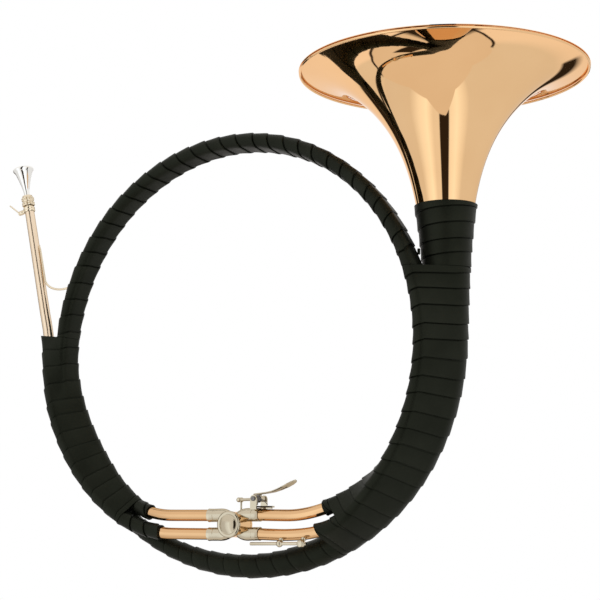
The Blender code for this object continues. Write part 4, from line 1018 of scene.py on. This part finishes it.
def make_lever():
    shape = bmesh.new()
    barrel = axis_matrix(LEVER_HINGE, (0, 1, 0))
    add_filleted(shape, (
        (1.7, -6.2), (2.5, -6.2), (2.5, -3.4), (2.2, -3.1), (2.2, 2.6), (2.5, 2.9), (2.5, 8.0),
        (2.7, 8.4), (2.7, 10.8), (2.5, 11.2), (1.7, 11.2), (1.7, -6.2)), 0.2, barrel)
    stations = np.array(((28.6, -145.6, 3.0), (30.0, -145.35, 4.4), (36.0, -144.9, 5.6),
                         (44.0, -144.1, 7.6), (51.0, -142.9, 10.2), (58.0, -140.7, 12.8),
                         (65.0, -138.0, 14.5), (70.0, -135.7, 14.3), (73.5, -134.0, 11.6),
                         (75.3, -133.1, 7.6), (75.9, -132.8, 3.0)))
    rings = []
    for share in np.linspace(0, len(stations) - 1, 61):
        x, z, width = (np.interp(share, range(len(stations)), stations[:, axis]) for axis in range(3))
        rings.append([np.array((x, 2.5 + across, z + up - 0.06 * abs(across))) * MM
                      for across, up in superellipse(width, 1.7, 28)])
    add_rings(shape, rings)
    rings = []
    for height, half in ((-147.9, 1.6), (-147.0, 1.7), (-146.0, 2.0), (-145.2, 2.6)):
        rings.append([np.array((34 + across * half / 1.6, 4.6 + depth, height)) * MM
                      for across, depth in superellipse(3.2, 2.8, 20)])
    add_rings(shape, rings)
    arm = bezier((32.0, 8.6, -150), (24, 11.4, -150), (9, 18.3, -150), (-0.9, 18.3, -150), 24)
    add_rings(shape, [[point * MM + np.array((0, across, up)) * MM
                       for across, up in superellipse(2.0, 2.9, 20)] for point in arm])
    add_filleted(shape, (
        (0, 16.0), (1.5, 16.1), (2.3, 16.9), (2.5, 18.2), (2.2, 19.6), (1.4, 20.2), (1.0, 20.5),
        (1.0, 24.2), (0.8, 24.5), (0, 24.5)), 0.5,
        axis_matrix((LINK_X, 0, -150 * MM), (0, 1, 0)), sides=32)
    make_piece("thumb_paddle", shape, "thumb_lever")
    shape = bmesh.new()
    add_filleted(shape, (
        (0, -9.35), (0.5, -9.35), (0.5, -9.8), (1.9, -9.8), (2.4, -9.3), (2.4, -8.4), (1.4, -8.4),
        (1.4, 14.2), (0, 14.2)), 0.15, barrel)
    make_piece("hinge_screw", shape, "hinge_rod")


make_lever()


def make_spring():
    """Torsion spring: five turns round the barrel, with two legs that lean on the saddle."""
    points = []
    steps = 32
    for step in range(SPRING_TURNS * steps + 1):
        angle = 2 * math.pi * step / steps
        points.append(LEVER_HINGE + np.array((
            SPRING_RADIUS * math.cos(angle), SPRING_START_Y + SPRING_PITCH * step / steps,
            SPRING_RADIUS * math.sin(angle))))
    foot = points[0] + np.array((0.3, 0, -6.2)) * MM
    tip = points[-1] + np.array((6.5, 0.4, -5.6)) * MM
    curve = bpy.data.curves.new("wound_spring", "CURVE")
    curve.dimensions = "3D"
    curve.bevel_depth = SPRING_WIRE
    curve.bevel_resolution = 4
    curve.use_fill_caps = True
    curve.resolution_u = 3
    spline = curve.splines.new("POLY")
    spline.points.add(len(points) + 1)
    for place, point in zip(spline.points, [foot] + points + [tip]):
        place.co = (*point, 1)
    curve.materials.append(STEEL)
    obj = linked("wound_spring", curve)
    obj.location = CENTRE
    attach(obj, BODY)
    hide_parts("return_spring")


make_spring()


def make_rod_group():
    shape = bmesh.new()
    add_filleted(shape, (
        (0, 0), (1.35, 0), (1.6, 0.3), (1.6, 62.7), (1.35, 63), (0, 63)), 0.2,
        axis_matrix(ROD_START, (1, 0, 0)))
    make_piece("finger_rod", shape, "sliding_rod")
    branch_rows = MAIN_PATH[:PATH_STEPS * len(LOWER_RIGHT)]
    for node, x in BALL_X.items():
        ball = np.array((x, *ROD_START[1:]))
        row = branch_rows[np.argmin(np.abs(branch_rows[:, 0] - x))]
        way = row[:3] - ball
        way[0] = 0
        reach = np.linalg.norm(way) - TUBE_RADIUS
        profile = [(BALL_RADIUS * math.sin(math.pi * step / 22),
                    -BALL_RADIUS * math.cos(math.pi * step / 22)) for step in range(20)]
        for step in range(9):
            angle = math.radians(150 - 15 * step)
            profile.append((2.6 * MM * math.sin(angle), reach + (2.0 * math.cos(angle) - 0.4) * MM))
        profile += [(2.6 * MM, reach + 0.9 * MM), (0, reach + 0.9 * MM)]
        shape = bmesh.new()
        add_turned(shape, profile, axis_matrix(ball, way), 48)
        make_piece(node + "_turned", shape, node)
    shape = bmesh.new()
    add_filleted(shape, (
        (0, 1.9), (0.9, 1.9), (0.9, 3.7), (3.0, 3.7), (3.3, 4.0), (3.3, 4.7), (2.9, 5.05),
        (0.9, 5.4), (0, 5.4)), 0.2,
        axis_matrix((BALL_X["right_ball_post"], *ROD_START[1:]), (0, -1, 0)))
    make_piece("rod_screw_head", shape, "rod_clamp_screw")


make_rod_group()


def bevelled(name, node, width):
    """A carried-over solid whose edges are softened."""
    source = frame["nodes"][node]
    shape = bmesh.new()
    shape.from_mesh(source.data)
    weld(shape)
    bmesh.ops.dissolve_limit(shape, angle_limit=math.radians(0.6), verts=shape.verts,
                             edges=shape.edges)
    bmesh.ops.translate(shape, verts=shape.verts, vec=-CENTRE)
    obj = make_piece(name, shape, node)
    bevel = obj.modifiers.new("soft_edges", "BEVEL")
    bevel.width = width
    bevel.segments = 2
    bevel.limit_method = "ANGLE"
    bevel.angle_limit = math.radians(35)
    bevel.harden_normals = False


for name, node, width in (
        ("saddle_bracket", "lever_saddle", 0.18), ("link_bar", "link_rod", 0.12),
        ("stop_crank", "stop_arm", 0.12), ("crank_screw", "stop_screw", 0.12),
        ("rest_cork", "rest_bumper", 0.15), ("pressed_cork", "pressed_bumper", 0.15),
        ("knotted_thong", "leather_thong", 0.6)):
    bevelled(name, node, width * MM)


# Studio: pale floor, soft lamps and the photograph's camera

# What the metal sees: colours by bearing round the horn, in degrees from +X towards +Y. The
# camera stands at -57. The table's edge is (bearing, degrees above level), and the dark
# gaps are (first bearing, last bearing, lowest, highest). Where the ceiling starts and the
# height of the table's dark rim are shares of 90 degrees, the rim's bearings of a full turn.
DARK = (0.030, 0.022, 0.015)
TABLE = (0.86, 0.80, 0.74)
CEILING = (1.0, 0.98, 0.95)
WALLS = ((-180, 0.84, 0.83, 0.82), (-142, 0.86, 0.85, 0.83), (-126, 1.12, 1.16, 1.18),
         (-108, 1.28, 1.34, 1.36), (-92, 0.98, 0.97, 0.95), (-78, 0.98, 0.97, 0.95),
         (-76, *DARK), (-54, *DARK), (-52, 1.10, 1.12, 1.12), (-34, 1.24, 1.30, 1.32),
         (-14, 1.0, 1.0, 0.98), (-6, 0.86, 0.85, 0.83), (95, 0.86, 0.85, 0.83),
         (102, 1.05, 1.0, 0.98), (147, 1.08, 1.02, 1.0), (152, 0.88, 0.87, 0.85))
TABLE_EDGE = ((-180, -48), (-144, -57), (-106, -57), (-78, -49), (-61, -47.5), (-53, -52),
              (-35, -65), (0, -69), (30, -72), (60, -66), (91, -57), (105, -47), (112, -40),
              (119, -40), (126, -43), (147, -49), (165, -50), (179, -48))
CEILING_START = 0.16
RIM_HEIGHT = 0.014
RIM_BEARINGS = (0.75, 0.99)
GAPS = ((98, 102.5, -21, 14), (-76, -54, 8, 58), (151, 166, -22, 14), (170, 173, -48, 14),
        (110, 121, -60, -24), (109, 146, -67, -58))


def make_floor():
    """A pale floor; metal sees the table drawn in the world instead of it."""
    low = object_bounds()[0]
    shape = bmesh.new()
    bmesh.ops.create_grid(shape, x_segments=2, y_segments=2, size=FLOOR_REACH)
    floor = linked_mesh("studio_floor", shape)
    floor.location = (0, 0, low[2] - FLOOR_DROP)
    material, tree, shader = new_material("pale_floor")
    tone = ramp(tree, noise(tree, 6.0, 3.0), (0.3, (0.80, 0.80, 0.80)), (0.7, (0.86, 0.86, 0.86)))
    set_inputs(shader, Base_Color=tone, Roughness=0.8)
    choice = add_node(tree, "MixShader", Fac=add_node(tree, "LightPath").outputs["Is Glossy Ray"])
    feed(choice.inputs[1], shader.outputs["BSDF"])
    feed(choice.inputs[2], add_node(tree, "BsdfTransparent").outputs["BSDF"])
    set_inputs(tree.nodes["Material Output"], Surface=choice.outputs["Shader"])
    floor.data.materials.append(material)


def maths(tree, operation, *values):
    node = add_node(tree, "Math")
    node.operation = operation
    node.use_clamp = operation == "MULTIPLY"
    for socket, value in zip(node.inputs, values):
        feed(socket, value)
    return node.outputs["Value"]


def inside(tree, value, low, high, soft):
    """1 between two values and 0 outside them, with soft edges."""
    sides = [add_node(tree, "MapRange", Value=value, From_Min=edge - step, From_Max=edge + step)
             for edge, step in ((low, soft), (high, -soft))]
    return maths(tree, "MULTIPLY", *(side.outputs["Result"] for side in sides))


def bearing_ramp(tree, bearing, rows):
    """Colours by bearing, from (degrees, red, green, blue) rows."""
    return ramp(tree, bearing, *((row[0] / 360 + 0.5, row[1:]) for row in rows))


def make_world():
    """White behind the horn; metal sees a pale room and a table, with a few dark gaps."""
    world = bpy.data.worlds.new("studio")
    bpy.context.scene.world = world
    world.use_nodes = True
    tree = world.node_tree
    rays = add_node(tree, "LightPath").outputs
    place = add_node(tree, "TexCoord").outputs["Generated"]
    way = add_node(tree, "SeparateXYZ", Vector=place).outputs
    angle = maths(tree, "ARCTAN2", way["Y"], way["X"])
    bearing = maths(tree, "ADD", maths(tree, "DIVIDE", angle, 2 * math.pi), 0.5)
    height = maths(tree, "DIVIDE", maths(tree, "ARCSINE", way["Z"]), math.pi / 2)
    walls = bearing_ramp(tree, bearing, WALLS)
    limit = bearing_ramp(tree, bearing,
                         [(degrees, *(1 + level / 90,) * 3) for degrees, level in TABLE_EDGE])
    above = maths(tree, "SUBTRACT", maths(tree, "ADD", height, 1.0), limit)
    room = mixed(tree, inside(tree, height, CEILING_START, 2.0, 0.06), walls, CEILING)
    room = mixed(tree, inside(tree, above, -2.0, 0.0, 0.004), room, TABLE)
    rim = maths(tree, "MULTIPLY", inside(tree, above, 0.0, RIM_HEIGHT, 0.003),
                inside(tree, bearing, *RIM_BEARINGS, 0.006))
    gaps = [rim] + [maths(tree, "MULTIPLY",
                          inside(tree, bearing, left / 360 + 0.5, right / 360 + 0.5, 0.002),
                          inside(tree, height, low / 90, high / 90, 0.008))
                    for left, right, low, high in GAPS]
    for gap in gaps:
        room = mixed(tree, gap, room, DARK)
    soft = mixed(tree, rays["Is Glossy Ray"], FILL_LIGHT, room)
    shown = mixed(tree, rays["Is Camera Ray"], soft, (1.0, 1.0, 1.0))
    set_inputs(tree.nodes["Background"], Color=shown)


def make_lamp(name, place, size, power):
    light = bpy.data.lights.new(name, "AREA")
    light.shape = "RECTANGLE"
    light.size, light.size_y = size
    light.energy = power
    lamp = linked(name, light)
    lamp.location = place
    lamp.visible_glossy = False
    middle = Vector((0, 0, -0.2))
    lamp.rotation_euler = (Vector(place) - middle).to_track_quat("Z", "Y").to_euler()


def make_camera():
    data = bpy.data.cameras.new("photo_camera")
    data.sensor_width = CAMERA_SENSOR
    data.lens = CAMERA_LENS
    camera = linked("photo_camera", data)
    level = math.cos(CAMERA_ELEVATION)
    back = Vector((math.sin(CAMERA_AZIMUTH) * level, -math.cos(CAMERA_AZIMUTH) * level,
                   math.sin(CAMERA_ELEVATION)))
    camera.location = CENTRE + CAMERA_PLACE
    camera.rotation_euler = back.to_track_quat("Z", "Y").to_euler()
    bpy.context.scene.camera = camera


make_floor()
make_world()
make_lamp("key_lamp", (0.6, -1.6, 1.1), (1.2, 0.9), 14)
make_lamp("side_lamp", (-1.6, -0.9, 0.3), (0.9, 1.2), 7)
make_lamp("top_lamp", (0.1, 0.6, 1.5), (1.2, 1.2), 7)
make_camera()
bpy.context.scene.view_settings.view_transform = "Standard"
